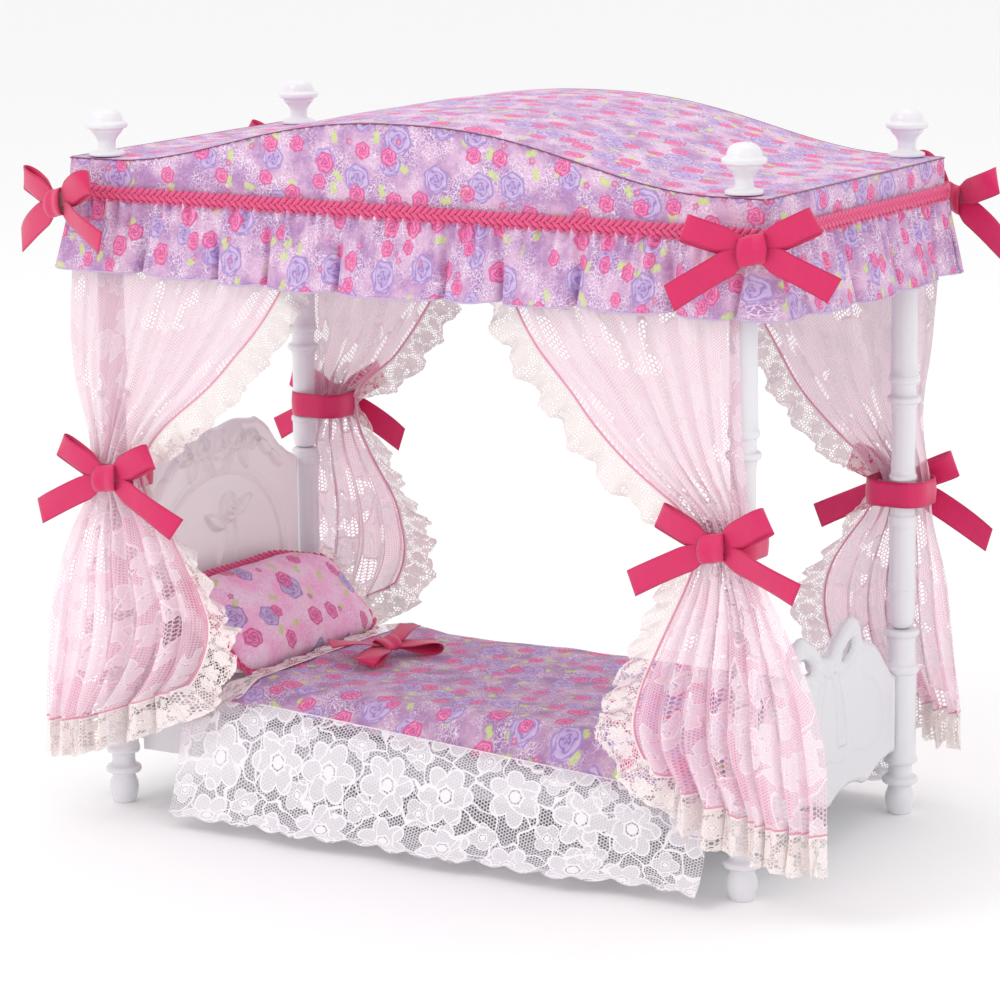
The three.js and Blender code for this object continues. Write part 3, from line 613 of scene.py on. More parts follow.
def plain_cotton(name, hex_value):
    """Undyed cotton sheeting, plain weave."""
    material, tree, shader = new_material(name, 0.85, Sheen_Weight=0.1)
    cloth = put(tree, "UVMap", uv_map="cloth").outputs[0]
    weave = put(tree, "TexWave", cloth, sockets={"Scale": 0.8, "Distortion": 0.5})
    tint = put(tree, "TexNoise", cloth, sockets={"Scale": 0.05})
    base = linear(hex_value)
    shade = mixed(tree, tint.outputs[0], base, rgba(base, 0.93))
    dress(tree, shader, shade, weave.outputs[1], 0.2)
    return material


FINISHES = {}


def finish(name):
    """Each finish is made once, when a piece first asks for it."""
    cloth = bpy.context.scene.dollbed_cloth
    makers = {
        "plastic": lambda: moulded_polystyrene("moulded white polystyrene",
                                               bpy.context.scene.dollbed_frame.plastic),
        # The boards are the posts' plastic with painted light and shade: the headboard stands in the canopy's shade
        # and is painted a lighter white to make up for it, and the footboard stands in the light and is painted a
        # darker white, so each has the white that the eye sees there.
        "headboard plastic": lambda: moulded_polystyrene("white polystyrene with painted light", linear("#FDF6F5")),
        "footboard plastic": lambda: moulded_polystyrene("white polystyrene with painted shade", linear("#E3E1E5")),
        "print": lambda: printed_cotton("rose print cotton lavender", cloth.print_ground, linear("#DCB4D3"),
                                        cloth.rose),
        # The canopy's cotton with painted shade: its ground and pale colours are painted darker where it lies on
        # the bed, in the canopy's shadow.
        "quilt print": lambda: printed_cotton("rose print cotton with painted shade on the quilt", linear("#AA7EAE"),
                                              linear("#CDA5C4"), cloth.rose),
        "pillow print": lambda: printed_cotton("rose print cotton orchid", cloth.pillow_ground, linear("#FFD4EA"),
                                               cloth.rose, 1.25),
        "ribbon": lambda: ribbed_ribbon("fuchsia ribbon", cloth.ribbon),
        "braid": lambda: yarn("fuchsia viscose braid", cloth.braid),
        "overlock": lambda: yarn("lilac overlock thread", linear("#D9C0E8")),
        "curtain seam": lambda: yarn("pink seam cord", linear("#FBAAC6")),
        "thread": lambda: yarn("plum seam thread", linear("#8A3F6E")),
        "curtain lace": lambda: curtain_lace("pink raschel lace", linear("#FFF2F8"), cloth.curtain),
        # The edging lace's last value is the painted shade that darkens it towards the canopy, for the canopy's
        # shadow; the skirt's white lace has none.
        "cream lace": lambda: flower_lace("cream edging lace", cloth.trim, linear("#F4E5E3"), 1.1, 8.6, 3.4, 6,
                                          TRIM_WIDTH, 0.84, 0.35),
        "white lace": lambda: flower_lace("white galloon lace", linear("#F8F4F8"), linear("#E6DFE6"), 1.05, 23.0,
                                          10.0, 6, SKIRT_DROP, 0.72, 0.0),
        "ticking": lambda: plain_cotton("plain white cotton", "#F5F2F6"),
    }
    if name not in FINISHES:
        FINISHES[name] = makers[name]()
    return FINISHES[name]


# ---- turned posts and finials -----------------------------------------------------------------------------
# Each profile is a list of (radius, height).
FOOT_PROFILE = [
    (3.7, 0), (3.95, 0.2), (5.0, 3.4), (5.25, 5.2), (5.0, 7.6), (4.1, 9.6), (4.1, 10.6), (6.2, 11.2), (6.4, 12.4),
    (6.2, 13.4), (4.3, 14.2), (4.1, 16), (4.2, 18), (5.9, 18.6), (6.1, 19.8), (5.9, 20.8), (5.4, 21.6)]
FOOT_COLLAR = [
    (5.5, 50.4), (5.6, 51), (6.2, 51.3), (6.5, 52.6), (6.2, 54), (5.1, 54.8), (5.05, 60), (5.1, 64), (6.2, 64.8),
    (6.4, 65.8), (6.2, 66.8), (4.8, 67)]
HEAD_COLLAR = [
    (5.4, 50.4), (5.5, 51), (5.5, 54), (5.05, 56), (5.05, 101), (5.3, 103.4), (5.7, 104), (5.7, 106.4),
    (5.2, 107.2), (4.9, 110)]
SHAFT = [
    (4.65, 81), (4.95, 81.4), (4.95, 82.6), (4.65, 83), (4.65, 103.4), (5.1, 104), (5.2, 105.8), (5.1, 107.4),
    (4.4, 108), (4.3, 119.8), (4.9, 120.3), (4.95, 121), (4.9, 121.8), (4.15, 122.4), (4.15, 145.6), (4.6, 146.2),
    (4.6, 147), (5.8, 147.6), (5.95, 148.6), (5.8, 149.6), (4.25, 150.2), (4.2, 154), (5.2, 154.6), (5.35, 155.6),
    (5.2, 156.8), (4.65, 157.4), (4.6, 222)]
FINIAL_PROFILE = [
    (0.01, 233.0), (6.1, 233.0), (6.3, 233.3), (6.25, 234.1), (5.6, 234.5), (3.2, 235), (3.05, 236.4), (3.2, 238.4),
    (4.2, 240), (5.6, 241.4), (5.9, 242.4), (7.1, 242.7), (7.4, 243.2), (7.4, 244.2), (7.1, 244.6), (5.9, 244.9),
    (5.6, 246.6), (4.6, 248.3), (2.8, 249.3), (0.01, 249.6)]
FINIAL_PEG = [(2.2, 215.2), (2.2, 232.8)]


def turned(profile, x, y, flutes=None):
    """A turned piece: radius and height follow the rounded profile, and the angle runs once round.

    flutes is (low z, high z, count, depth): there the radius dips by depth x |sin(count x angle / 2)|.
    """
    facets = bpy.context.scene.dollbed_frame.facets
    line = rounded(profile)
    r, z = line[:, :1], line[:, 1:]
    turn = np.linspace(0, TAU, facets + 1)[None, :]
    if flutes:
        low, high, count, depth = flutes
        zone = ease(low, low + 1.5, z) * (1 - ease(high - 1.5, high, z))
        r = r - depth * zone * (1 - np.abs(np.sin(count * turn / 2)) ** 0.6)
    points = grid_of(x + r * np.cos(turn), y + r * np.sin(turn), z)
    length = lengths_along(line)[:, None]
    return points, flat_uv(turn * 5, length)


def capped(profile):
    """Adds points on the axis so that both ends of a turned piece close."""
    return [(0.01, profile[0][1])] + list(profile) + [(0.01, profile[-1][1])]


# ---- headboard and footboard ------------------------------------------------------------------------------
def board(half_y, top_of, bottom_of, steps, x_middle, half_thick, relief, hole=None, edge=2.2, face=1):
    """A moulded board. A grid runs across y and from its bottom edge to its top edge.

    Each face stands off the middle plane by half the thickness, falling to 0 in a quarter circle near the outline,
    plus the relief on the side that faces the bed. Where hole is positive both faces meet, and the gap is open.
    """
    columns, rows = steps
    y = np.linspace(-half_y, half_y, columns)[None, :]
    v = np.linspace(0, 1, rows)[:, None]
    z = bottom_of(np.abs(y)) + (top_of(np.abs(y)) - bottom_of(np.abs(y))) * v
    y = np.broadcast_to(y, z.shape)
    slope = np.hypot(1, np.gradient(top_of(np.abs(y[0])), y[0]))
    inset = np.minimum.reduce([half_y - np.abs(y), (z - bottom_of(np.abs(y))), (top_of(np.abs(y)) - z) / slope])
    if hole is not None:
        inset = np.minimum(inset, np.maximum(-hole(y, z), 0))
    shoulder = np.sqrt(np.clip(1 - (1 - np.clip(inset / edge, 0, 1)) ** 2, 0, 1))
    raised = relief(y, z, inset)
    parts = []
    for side in (1, -1):
        lift = half_thick + (raised if side == face else 0.35 * raised)
        points = np.stack([x_middle + side * lift * shoulder, y, z], -1)
        parts.append((points, flat_uv(y, z)))
    return parts


def drop_open_faces(piece, x_middle):
    """Removes the faces that lie flat on the middle plane, where both skins of a board meet inside a hole."""
    work = bmesh.new()
    work.from_mesh(piece.data)
    flat = [f for f in work.faces if all(abs(v.co.x - x_middle * MM) < 1e-7 for v in f.verts)]
    bmesh.ops.delete(work, geom=flat, context="FACES")
    bmesh.ops.recalc_face_normals(work, faces=work.faces)
    work.to_mesh(piece.data)
    work.free()


def ridge(distance, width, height):
    """A rounded raised line: height x cos^2 within width of the line."""
    t = np.clip(np.abs(distance) / width, 0, 1)
    return height * np.cos(t * math.pi / 2) ** 2


def moulded_rose(y, z, y0, z0, size, height):
    """A rose in relief: a dome whose petals are a spiral of ridges."""
    dy, dz = y - y0, z - z0
    r = np.hypot(dy, dz) / size
    turn = np.arctan2(dz, dy)
    petals = 0.5 + 0.5 * np.cos(TAU * (2.4 * r - turn / TAU) + 0.8 * np.sin(3 * turn))
    dome = np.clip(1 - r ** 2, 0, 1) ** 0.6
    return height * dome * (0.5 + 0.5 * petals)


def slanted(y, z, angle):
    """Coordinates along and across a direction at the given angle from +Y."""
    return y * math.cos(angle) + z * math.sin(angle), z * math.cos(angle) - y * math.sin(angle)


def leaf(y, z, y0, z0, turn, long, wide, height):
    """A pointed leaf in relief: a lens-shaped dome with a groove down its middle."""
    a, b = slanted(y - y0, z - z0, turn)
    a, b = a / long, b / wide
    span = np.clip(1 - a ** 2, 0, 1)
    body = np.clip(1 - np.abs(b) / np.maximum(span, 1e-6), 0, 1) * (span > 0)
    return height * body ** 0.6 * (1 - 0.35 * np.exp(-(b / 0.12) ** 2))


def headboard_top(y):
    """A crest with small waves over the roses, then a slope with a ripple down to the flat by the post."""
    crest = 127.6 - 0.7 * np.cos(y / 4.0) * (y < 26)
    shoulder = np.interp(y, [0, 26, 29, 35, 42, 47, 54, 60], [127.4, 127.4, 126, 121.4, 114.6, 111, 107.6, 107])
    return np.where(y < 26, crest, shoulder) + 0.5 * np.cos(y / 2.6) * (y > 30) * (y < 44)


def headboard_bottom(y):
    """A shallow arch."""
    return 14 + 8 * (y / 54) ** 2


def headboard_relief(y, z, inset):
    """Border rib, an oval frame line, roses along the crest and a rose with ribbon tails in the middle."""
    ay = np.abs(y)
    h = ridge(inset - 2.6, 1.2, 0.5)
    frame_top = 108 - 10 * (ay / 42) ** 2
    oval = np.hypot(ay / 41, (z - 74) / 36) - 1
    h = h + ridge(oval * 38, 1.2, 1.0) + ridge((oval - 0.07) * 38, 0.8, 0.5) * (z < frame_top + 20)
    for y0, z0, size in ((0, 121, 6.5), (11.5, 121.5, 5.2), (21.5, 119.5, 4.2)):
        h = np.maximum(h, moulded_rose(ay, z, y0, z0, size, 4.0))
    for y0, z0, angle in ((30, 115.5, -0.7), (37, 110, -0.8), (6, 113.5, -2.2), (16, 114, -1.2)):
        h = np.maximum(h, leaf(ay, z, y0, z0, angle, 5.5, 2.4, 2.6))
    h = np.maximum(h, moulded_rose(y, z, 6, 96, 6.0, 3.4))
    for side in (-1, 1):
        h = np.maximum(h, leaf(y - 6, z, side * 9, 94 + 2 * side, 0.5 * side, 6.5, 2.8, 2.6))
        tail = y - 6 - side * (2.5 + 0.16 * (94 - z)) - 1.2 * np.sin((94 - z) / 4)
        h = np.maximum(h, ridge(tail, 1.6, 1.3) * (z < 92) * (z > 68))
    return h


def footboard_top(y):
    """The bow's two loops stand up from the middle, then the edge falls in a sag to the post."""
    points = [(0, 69.5), (4, 70), (7, 73), (12, 76.8), (17, 79.4), (20, 79.8), (23, 78), (25, 74.5), (27, 70),
              (31, 68.8), (36, 66.9), (41, 63), (44.5, 59.2), (49.5, 53.8), (52, 52), (54, 51.6), (60, 51.6)]
    return np.mean([np.interp(y + d, *zip(*points)) for d in (-1, -0.5, 0, 0.5, 1)], axis=0)


def footboard_bottom(y):
    """Two shallow arches on each side with a small step between them and a point in the middle."""
    points = [(0, 15.8), (2, 16), (3.2, 16.9), (7.7, 18.8), (12, 19.9), (16, 20.4), (20, 20.4), (24.5, 19.8),
              (28.6, 18.3), (29.6, 18.1), (32.6, 18.6), (33.6, 19.3), (36.6, 21), (41.5, 22.4), (49, 23.8),
              (60, 24)]
    return np.mean([np.interp(y + d, *zip(*points)) for d in (-0.5, 0, 0.5)], axis=0)


def footboard_hole(y, z):
    """Positive inside the two eyes of the bow, which are slanting ellipses beside the knot."""
    a, b = slanted(np.abs(y) - 15.6, z - 68.6, 0.45)
    return (1 - np.hypot(a / 5.2, b / 2.3)) * 2.3


def footboard_relief(y, z, inset):
    """Border rib, a shaped frame line inside it, and a large bow with a ribbed knot and two long tails."""
    ay = np.abs(y)
    h = ridge(inset - 2.2, 1.3, 0.75)
    # The frame line: down from the bow, along the side, across the corner and in two sags to the middle.
    line = [(26, 58), (32, 55.5), (37.5, 51), (40.4, 46), (41.2, 40), (41.2, 34.6), (36, 32.4), (29, 31),
            (24, 32.6), (19.4, 33), (12, 32), (6, 31.2), (0, 33.5)]
    gap = np.full(np.shape(z), 99.0)
    for (y0, z0), (y1, z1) in zip(line, line[1:]):
        share = np.clip(((ay - y0) * (y1 - y0) + (z - z0) * (z1 - z0)) / ((y1 - y0) ** 2 + (z1 - z0) ** 2), 0, 1)
        gap = np.minimum(gap, np.hypot(ay - y0 - share * (y1 - y0), z - z0 - share * (z1 - z0)))
    h = np.maximum(h, ridge(gap, 1.2, 1.0))
    a, b = slanted(ay - 14.5, z - 70, 0.5)
    loop = np.hypot(a / 12.5, b / 6.4)
    h = np.maximum(h, 2.0 * np.clip(1 - loop ** 4, 0, 1) ** 0.5 * (0.78 + 0.22 * np.cos(b * 2.2)))
    knot = np.hypot(ay / 4.4, (z - 66.4) / 4.8)
    h = np.maximum(h, 3.0 * np.clip(1 - knot ** 3, 0, 1) ** 0.5 * (0.86 + 0.14 * np.cos(y * 3)))
    drop = 63 - z
    centre = 3.5 + 0.30 * drop + 1.2 * np.sin(drop / 6.5)
    tail = np.clip(1 - (np.abs(ay - centre) / (2.4 + 0.045 * drop)) ** 4, 0, 1) ** 0.5
    h = np.maximum(h, 1.6 * tail * (drop > 0) * (drop < 27) * (0.8 + 0.2 * np.cos((ay - centre) * 1.8)))
    return h


# ---- canopy -----------------------------------------------------------------------------------------------
ARCH_RISE = float(ROOF_HIGH[2] - ROOF_LOW[2]) - 0.8
CANOPY_Z = float(ROOF_LOW[2]) + 0.8
ARCH_HALF = 118.0


def arch(x):
    """Height of the canopy's long seam: corner height + rise x cos^2(pi/2 x s^1.2), s from 0 to 1 at 118 mm."""
    s = np.clip(np.abs(x) / ARCH_HALF, 0, 1)
    return CANOPY_Z + ARCH_RISE * np.cos(math.pi / 2 * s ** 1.2) ** 2


def roof_surface():
    """The roof: the arch along x with a soft crown between the seams and faint sags, pinned at the outline."""
    x = np.linspace(-CANOPY_X, CANOPY_X, 150)[None, :]
    y = np.linspace(-CANOPY_Y, CANOPY_Y, 70)[:, None]
    pinned = (1 - (np.abs(x) / CANOPY_X) ** 6) * (1 - (np.abs(y) / CANOPY_Y) ** 4)
    z = arch(x) + pinned * (1.5 + 0.5 * ripple(x, y, 46, 11))
    points = grid_of(x, y, z)
    run = np.cumsum(np.hypot(np.gradient(x[0]), np.gradient(arch(x[0]))))[None, :]
    return points, flat_uv(run, y)


def seam_height(points):
    """Height of the roof's outline at plan points: the arch along the long sides, flat along the ends."""
    return np.where(np.abs(points[:, 0]) > CANOPY_X - 0.6, arch(CANOPY_X), arch(points[:, 0]))


def valance_surface():
    """Side panels: a band round the canopy from the seam down to the braid, slightly puckered along both seams."""
    path, normal, s = box_path(CANOPY_X, CANOPY_Y, 2.0, 1.6)
    top = seam_height(path)[None, :]
    v = np.linspace(0, 1, 12)[:, None]
    z = top + (BRAID_Z - 0.5 - top) * v
    pucker = 0.22 * np.sin(TAU * s / 4.1 + 2 * np.sin(s / 23))[None, :] * (np.abs(2 * v - 1) ** 3)
    out = 0.1 + 0.8 * np.sin(math.pi * v) * (0.6 + 0.4 * ripple(s, 0 * s, 40, 5))[None, :] + pucker
    xy = path[None] + normal[None] * out[..., None]
    points = np.concatenate([xy, z[..., None]], -1)
    return points, flat_uv(s[None, :], z)


def frill_surface():
    """Gathered frill: wide panels between narrow pleats, swinging outwards from the braid seam to the hem.

    Standing off the canopy = flare x v^1.2 + small gathers that die away downwards + a soft belly in each panel
    - a deep narrow pleat, exp(-(distance / width)^2), at each of a row of uneven places.
    """
    path, normal, s = box_path(CANOPY_X, CANOPY_Y, 3.0, 0.5)
    total = s[-1]
    v = np.linspace(0, 1, 30)[:, None]
    draw = np.random.default_rng(21)
    count = 27
    places = (np.arange(count) + draw.uniform(0.22, 0.78, count)) * total / count
    gap = (s[None, :] - places[:, None] + total / 2) % total - total / 2
    slant = draw.uniform(-3.5, 3.5, count)
    width = draw.uniform(1.3, 2.2, count)
    depth = draw.uniform(4.4, 7.4, count)
    nearest = np.abs(gap).min(0)
    pleat, push = 0.0, 0.0
    for k in range(count):
        off = gap[k][None, :] - slant[k] * v
        crease = np.exp(-(off / width[k]) ** 2)
        pleat = pleat + depth[k] * crease
        push = push + 2.4 * np.exp(-(off / 5.0) ** 2) * np.sign(off) * (1 - np.exp(-(off / 1.6) ** 2))
    belly = ease(0, 13, nearest)[None, :] * (0.7 + 0.5 * np.sin(s / 19))[None, :]
    fine = np.sin(TAU * s / total * round(total / 4.6) + 2.2 * np.sin(s / 9))[None, :]
    second = np.sin(TAU * s / total * round(total / 2.9) + 1.3 * np.sin(s / 6))[None, :]
    roots = (1.25 * fine * np.exp(-1.9 * v) + 0.5 * second * np.exp(-5 * v)) * ease(0, 0.08, v)
    out = 0.7 + 5.6 * v ** 1.2 + roots + 1.9 * belly * np.sin(math.pi * 0.62 * v) - pleat * v ** 0.55
    out = np.maximum(out, 0.25 + 0.6 * v)
    height = 26.3 + 0.9 * np.sin(s / 37)[None, :] + 0.9 * ease(0, 9, nearest)[None, :]
    z = BRAID_Z - 0.5 - height * v
    along = np.stack([-normal[:, 1], normal[:, 0]], 1)
    gather = -push * v ** 0.7 * 0.45
    xy = path[None] + normal[None] * out[..., None] + along[None] * gather[..., None]
    points = np.concatenate([xy, z[..., None]], -1)
    hem = np.linalg.norm(np.diff(points[-1], axis=0), axis=1).sum()
    return points, flat_uv(s[None, :] * hem / total, 60 + z), hem, height.mean(), normal


def braid_stitches(path, normal, up, pitch, width, thick):
    """Gimp braid: two rows of long oval stitches that lean towards each other, and small loops along one edge.

    Each stitch is a small closed ellipsoid, 6 rings of 7 points, turned in the braid's plane.
    """
    s = lengths_along(path)
    count = int(s[-1] / pitch)
    ahead = unit(np.gradient(path, axis=0))
    polar = np.linspace(0, math.pi, 6)[:, None]
    turn = np.linspace(0, TAU, 8)[None, :]
    shape = grid_of(np.cos(polar), np.sin(polar) * np.cos(turn), np.sin(polar) * np.sin(turn))
    uv = flat_uv(polar * 1.6, turn * 0.5)
    parts = []
    # Rows: shift along the braid, place across it, lean in degrees, half length, half width, height off the cloth.
    rows = ((0.0, 0.20, 33, 0.42, 0.155, 0.36),
            (0.5, -0.16, -33, 0.42, 0.155, 0.3),
            (0.1, -0.46, 8, 0.2, 0.12, 0.2))
    for shift, place, lean, half_long, half_wide, off in rows:
        at = (np.arange(count) + 0.3 + shift) * s[-1] / count
        centre, out, rise, along = [
            np.stack([np.interp(at, s, field[:, k]) for k in range(3)], 1) for field in (path, normal, up, ahead)]
        lean = math.radians(lean)
        long_axis = along * math.cos(lean) + rise * math.sin(lean)
        short_axis = rise * math.cos(lean) - along * math.sin(lean)
        middle = centre + rise * width * place + out * thick * off
        reach = (shape[None, ..., :1] * long_axis[:, None, None] * width * half_long
                 + shape[None, ..., 1:2] * short_axis[:, None, None] * width * half_wide
                 + shape[None, ..., 2:] * out[:, None, None] * thick * 0.55)
        parts += [(stitch, uv) for stitch in middle[:, None, None] + reach]
    return parts


# ---- ribbon bows ------------------------------------------------------------------------------------------
def ribbon_strip(centre, across, width, start=0.0):
    """A strip of ribbon: at each step along its middle line it spreads by half its width both ways.

    Cloth coordinates are 0 to 1 across the ribbon and millimetres along it.
    """
    w = np.linspace(-0.5, 0.5, 9)
    points = centre[:, None, :] + across[:, None, :] * np.reshape(width, (-1, 1, 1)) * w[None, :, None]
    s = start + lengths_along(centre)
    return points, flat_uv(w[None, :] + 0.5, s[:, None])


def bow_parts(width, scale=1.0, seed=0, flat=1.0, tail=33.0):
    """A tied bow seen from its front, u to the right, v up and d towards the viewer, about its knot.

    A loop runs out from the knot and back: its reach is 22.5 mm x sin(pi t)^0.55 and the two layers part in depth.
    A tail of the given length runs out and down, twists a little and ends in a straight cut. The knot is a short
    wrapped band.
    """
    draw = np.random.default_rng(seed)
    parts = []
    for side in (-1, 1):
        rise = math.radians(24 + draw.uniform(-5, 5))
        reach = (22.5 + draw.uniform(-1.0, 1.0)) * scale
        t = np.linspace(0, 1, 40)
        out = reach * np.sin(math.pi * t) ** 0.55
        depth = 3.0 * flat * np.cos(math.pi * t) * np.sin(math.pi * t) ** 0.8 + 1.2 * flat
        direction = np.array([side * math.cos(rise), math.sin(rise), 0])
        upward = np.array([-side * math.sin(rise), math.cos(rise), 0])
        grip = ease(1.0, 11.0, out / scale)
        lift = 1.2 * np.sin(math.pi * t) * np.cos(math.pi * t)
        centre = direction * out[:, None] + upward * lift[:, None] + np.array([0, 0, 1]) * depth[:, None]
        tilt = 0.28 * np.sin(TAU * t)
        across = upward * np.cos(tilt)[:, None] + np.array([0, 0, 1]) * np.sin(tilt)[:, None]
        parts.append(ribbon_strip(centre, across, width * (0.5 + 0.5 * grip)))
    for side in (-1, 1):
        fall = math.radians(24 + draw.uniform(-3, 3))
        length = (tail + draw.uniform(-1.5, 1.5)) * scale
        t = np.linspace(0, 1, 30)
        direction = np.array([side * math.cos(fall), -math.sin(fall), 0])
        upward = np.array([side * math.sin(fall), math.cos(fall), 0])
        sag = -1.5 * t ** 2 * flat
        depth = 0.6 + flat * (1.4 * np.sin(math.pi * t * 0.9) + draw.uniform(-0.8, 0.8) * t ** 2)
        centre = direction * (length * t)[:, None] + upward * sag[:, None] + np.array([0, 0, 1]) * depth[:, None]
        tilt = draw.uniform(-0.25, 0.25) * t + 0.25 * np.sin(math.pi * t)
        across = upward * np.cos(tilt)[:, None] + np.array([0, 0, 1]) * np.sin(tilt)[:, None]
        slant = side * 0.12
        across = across + direction * slant * ease(0.8, 1.0, t)[:, None]
        grip = ease(0.03, 0.34, t)
        parts.append(ribbon_strip(centre, across, width * (0.45 + 0.55 * grip)))
    turn = np.linspace(0, TAU, 33)
    ring = np.stack([0 * turn, 4.7 * scale * np.sin(turn), 1.4 * flat + 2.5 * flat * np.cos(turn)], 1)
    lean = np.array([1, 0.18, 0])
    pinch = width * (0.98 + 0.1 * np.cos(2 * turn))
    knot, uv = ribbon_strip(ring, np.repeat(lean[None], len(turn), 0), pinch)
    crease = 0.35 * np.sin(np.linspace(0, TAU * 1.5, 9))[None, :] * np.ones((len(turn), 1))
    knot[..., 2] += crease * np.sign(np.cos(turn))[:, None]
    knot[-1] = knot[0]
    parts.append((knot, uv))
    return parts


def placed(parts, matrix):
    """The same parts, turned and moved by a 4 x 4 matrix in millimetres."""
    m = np.array(matrix)
    return [(points @ m[:3, :3].T + m[:3, 3], uv) for points, uv in parts]


def bow_matrix(x, y, z, facing, lean=0.0):
    """Stands a bow up: u turns by facing round Z from +X, v is up and its front looks outwards."""
    upright = Matrix(((1, 0, 0, 0), (0, 0, -1, 0), (0, 1, 0, 0), (0, 0, 0, 1)))
    turned_round = Matrix.Rotation(facing, 4, "Z") @ upright @ Matrix.Rotation(lean, 4, "Z")
    return Matrix.Translation((x, y, z)) @ turned_round


# ---- curtains ---------------------------------------------------------------------------------------------
CURTAIN_TOP = 219                        # height of the heading, behind the frill
CURTAIN_DROP = 195.0                     # the cloth from its heading to its hem
CURTAIN_WIDTH = 118.0                    # the cloth pattern's width from edge to edge
TUCK = (190, 207)                        # heights between which the cloth draws in under the frill
SIDE_RUN, HEM_RUN = 230, 150             # the trim's length along the edge and along the hem, before gathering
SCALLOP = 4.4                            # width of one small scallop of the trim
SEAM_CORD = 0.36                         # radius of the cord between the curtain and its trim
# Each curtain: height of its tie, how far along x the band and the bow's knot are, the bow's tail, height of its
# hem at the outer and inner edge, and its outline by height: (z, outer edge, inner edge), both measured along x
# from the bed's middle towards the curtain's own end.
CURTAINS = {
    ("head", "front"): {
        "tie": 122, "band": 120.5, "knot": 116, "tail": 33, "hem": (33, 50), "folds": 7, "seed": 1,
        "outline": [(219, 135, 38), (194, 135.5, 46), (177, 137, 58), (167, 137, 68), (155, 136, 79),
                    (144, 133, 94), (136, 130, 103), (128, 128, 107), (116, 128, 107), (105, 136, 97),
                    (90, 142, 88), (78, 145, 80), (68, 146.5, 78), (52, 146.5, 84), (33, 146, 106)]},
    ("head", "back"): {
        "tie": 127, "band": 119, "knot": 120.5, "tail": 33, "hem": (38, 58), "folds": 6, "seed": 2,
        "outline": [(219, 130, 40), (190, 129, 60), (170, 129, 72), (152, 129, 84), (141, 130, 94),
                    (134, 129, 107), (121, 129, 107), (106, 136, 100), (91, 142, 90), (72, 146, 87),
                    (60, 147, 91), (38, 147, 108)]},
    ("foot", "front"): {
        "tie": 121, "band": 123, "knot": 123.5, "tail": 33, "hem": (31, 47), "folds": 8, "seed": 3,
        "outline": [(219, 127.5, 34), (194, 127.5, 44), (184, 127.5, 49), (174, 128, 57), (168, 128, 64),
                    (156, 128.5, 73), (141, 130, 90), (134, 131.5, 102), (127, 132, 113), (115, 133, 113),
                    (103, 140, 108), (86, 150, 100), (70, 158, 93), (54, 162, 90), (31, 163.5, 108)]},
    ("foot", "back"): {
        "tie": 115.4, "band": 122, "knot": 117.5, "tail": 39, "hem": (34, 55), "folds": 7, "seed": 4,
        "outline": [(219, 134, 40), (190, 134, 54), (165, 132, 70), (148, 129, 80), (137, 129, 91),
                    (128, 130, 101), (122, 131, 109), (108, 131, 109), (97, 135, 100), (84, 138, 91),
                    (70, 139, 88), (54, 140, 92), (32, 141, 108)]},
}


def curtain_surface(end, flank, plan, u, v):
    """A lace curtain. u runs from its outer edge (0) to its inner edge (1), v from its top (0) to its hem (1).

    Height falls evenly with v to a hem that rises towards the inner edge. x lies between the two edges of the
    outline at that height. y bulges outwards in the middle of the width and carries the folds, which are sine waves
    of u that drift with height; the tie squeezes them together.
    """
    outline = np.array(plan["outline"], float)
    z_out, z_in = plan["hem"]
    hem = z_out + (z_in - z_out) * np.clip(u, 0, 1.2) ** 2.2
    z = CURTAIN_TOP + (hem - CURTAIN_TOP) * v
    outer, inner = (through(outline[:, 0], outline[:, k], z) for k in (1, 2))
    tie = np.exp(-((z - plan["tie"]) / 13.0) ** 2)
    low = np.clip((plan["tie"] - z) / (plan["tie"] - 25), 0, 1)
    tucked = ease(*TUCK, z)
    n, seed = plan["folds"], plan["seed"]
    drift = 0.12 * np.sin(z / 31 + seed) + 0.35 * ripple(u * 30, z * 0.25, 40, seed + 20)
    phase = TAU * (n * u + drift)
    fold = (np.sin(phase) + 0.45 * np.sin(1.9 * phase + seed) + 0.25 * np.sin(3.3 * phase + 2 * seed)
            + 0.35 * ripple(u * 55, z * 0.3, 14, seed + 40))
    inner_y = 66.1 + 8.0 * low
    mean_y = 68.0 + 2.0 * tie + 11.0 * low ** 1.2
    amount = 1.1 + 1.9 * tie + 3.6 * low ** 0.8
    belly = np.sin(math.pi * np.clip(u, 0, 1)) ** 0.7
    y = mean_y + amount * fold * (0.45 + 0.55 * belly) + (1.5 * tie + 5.0 * low ** 1.5) * (belly - 0.5)
    y = inner_y + np.abs(y - inner_y)
    y = y * (1 - tucked) + (66.0 + 0.14 * (y - 68.0)) * tucked
    x = outer + (inner - outer) * u + 0.25 * amount * np.cos(phase) * belly
    return end * x, flank * y, z


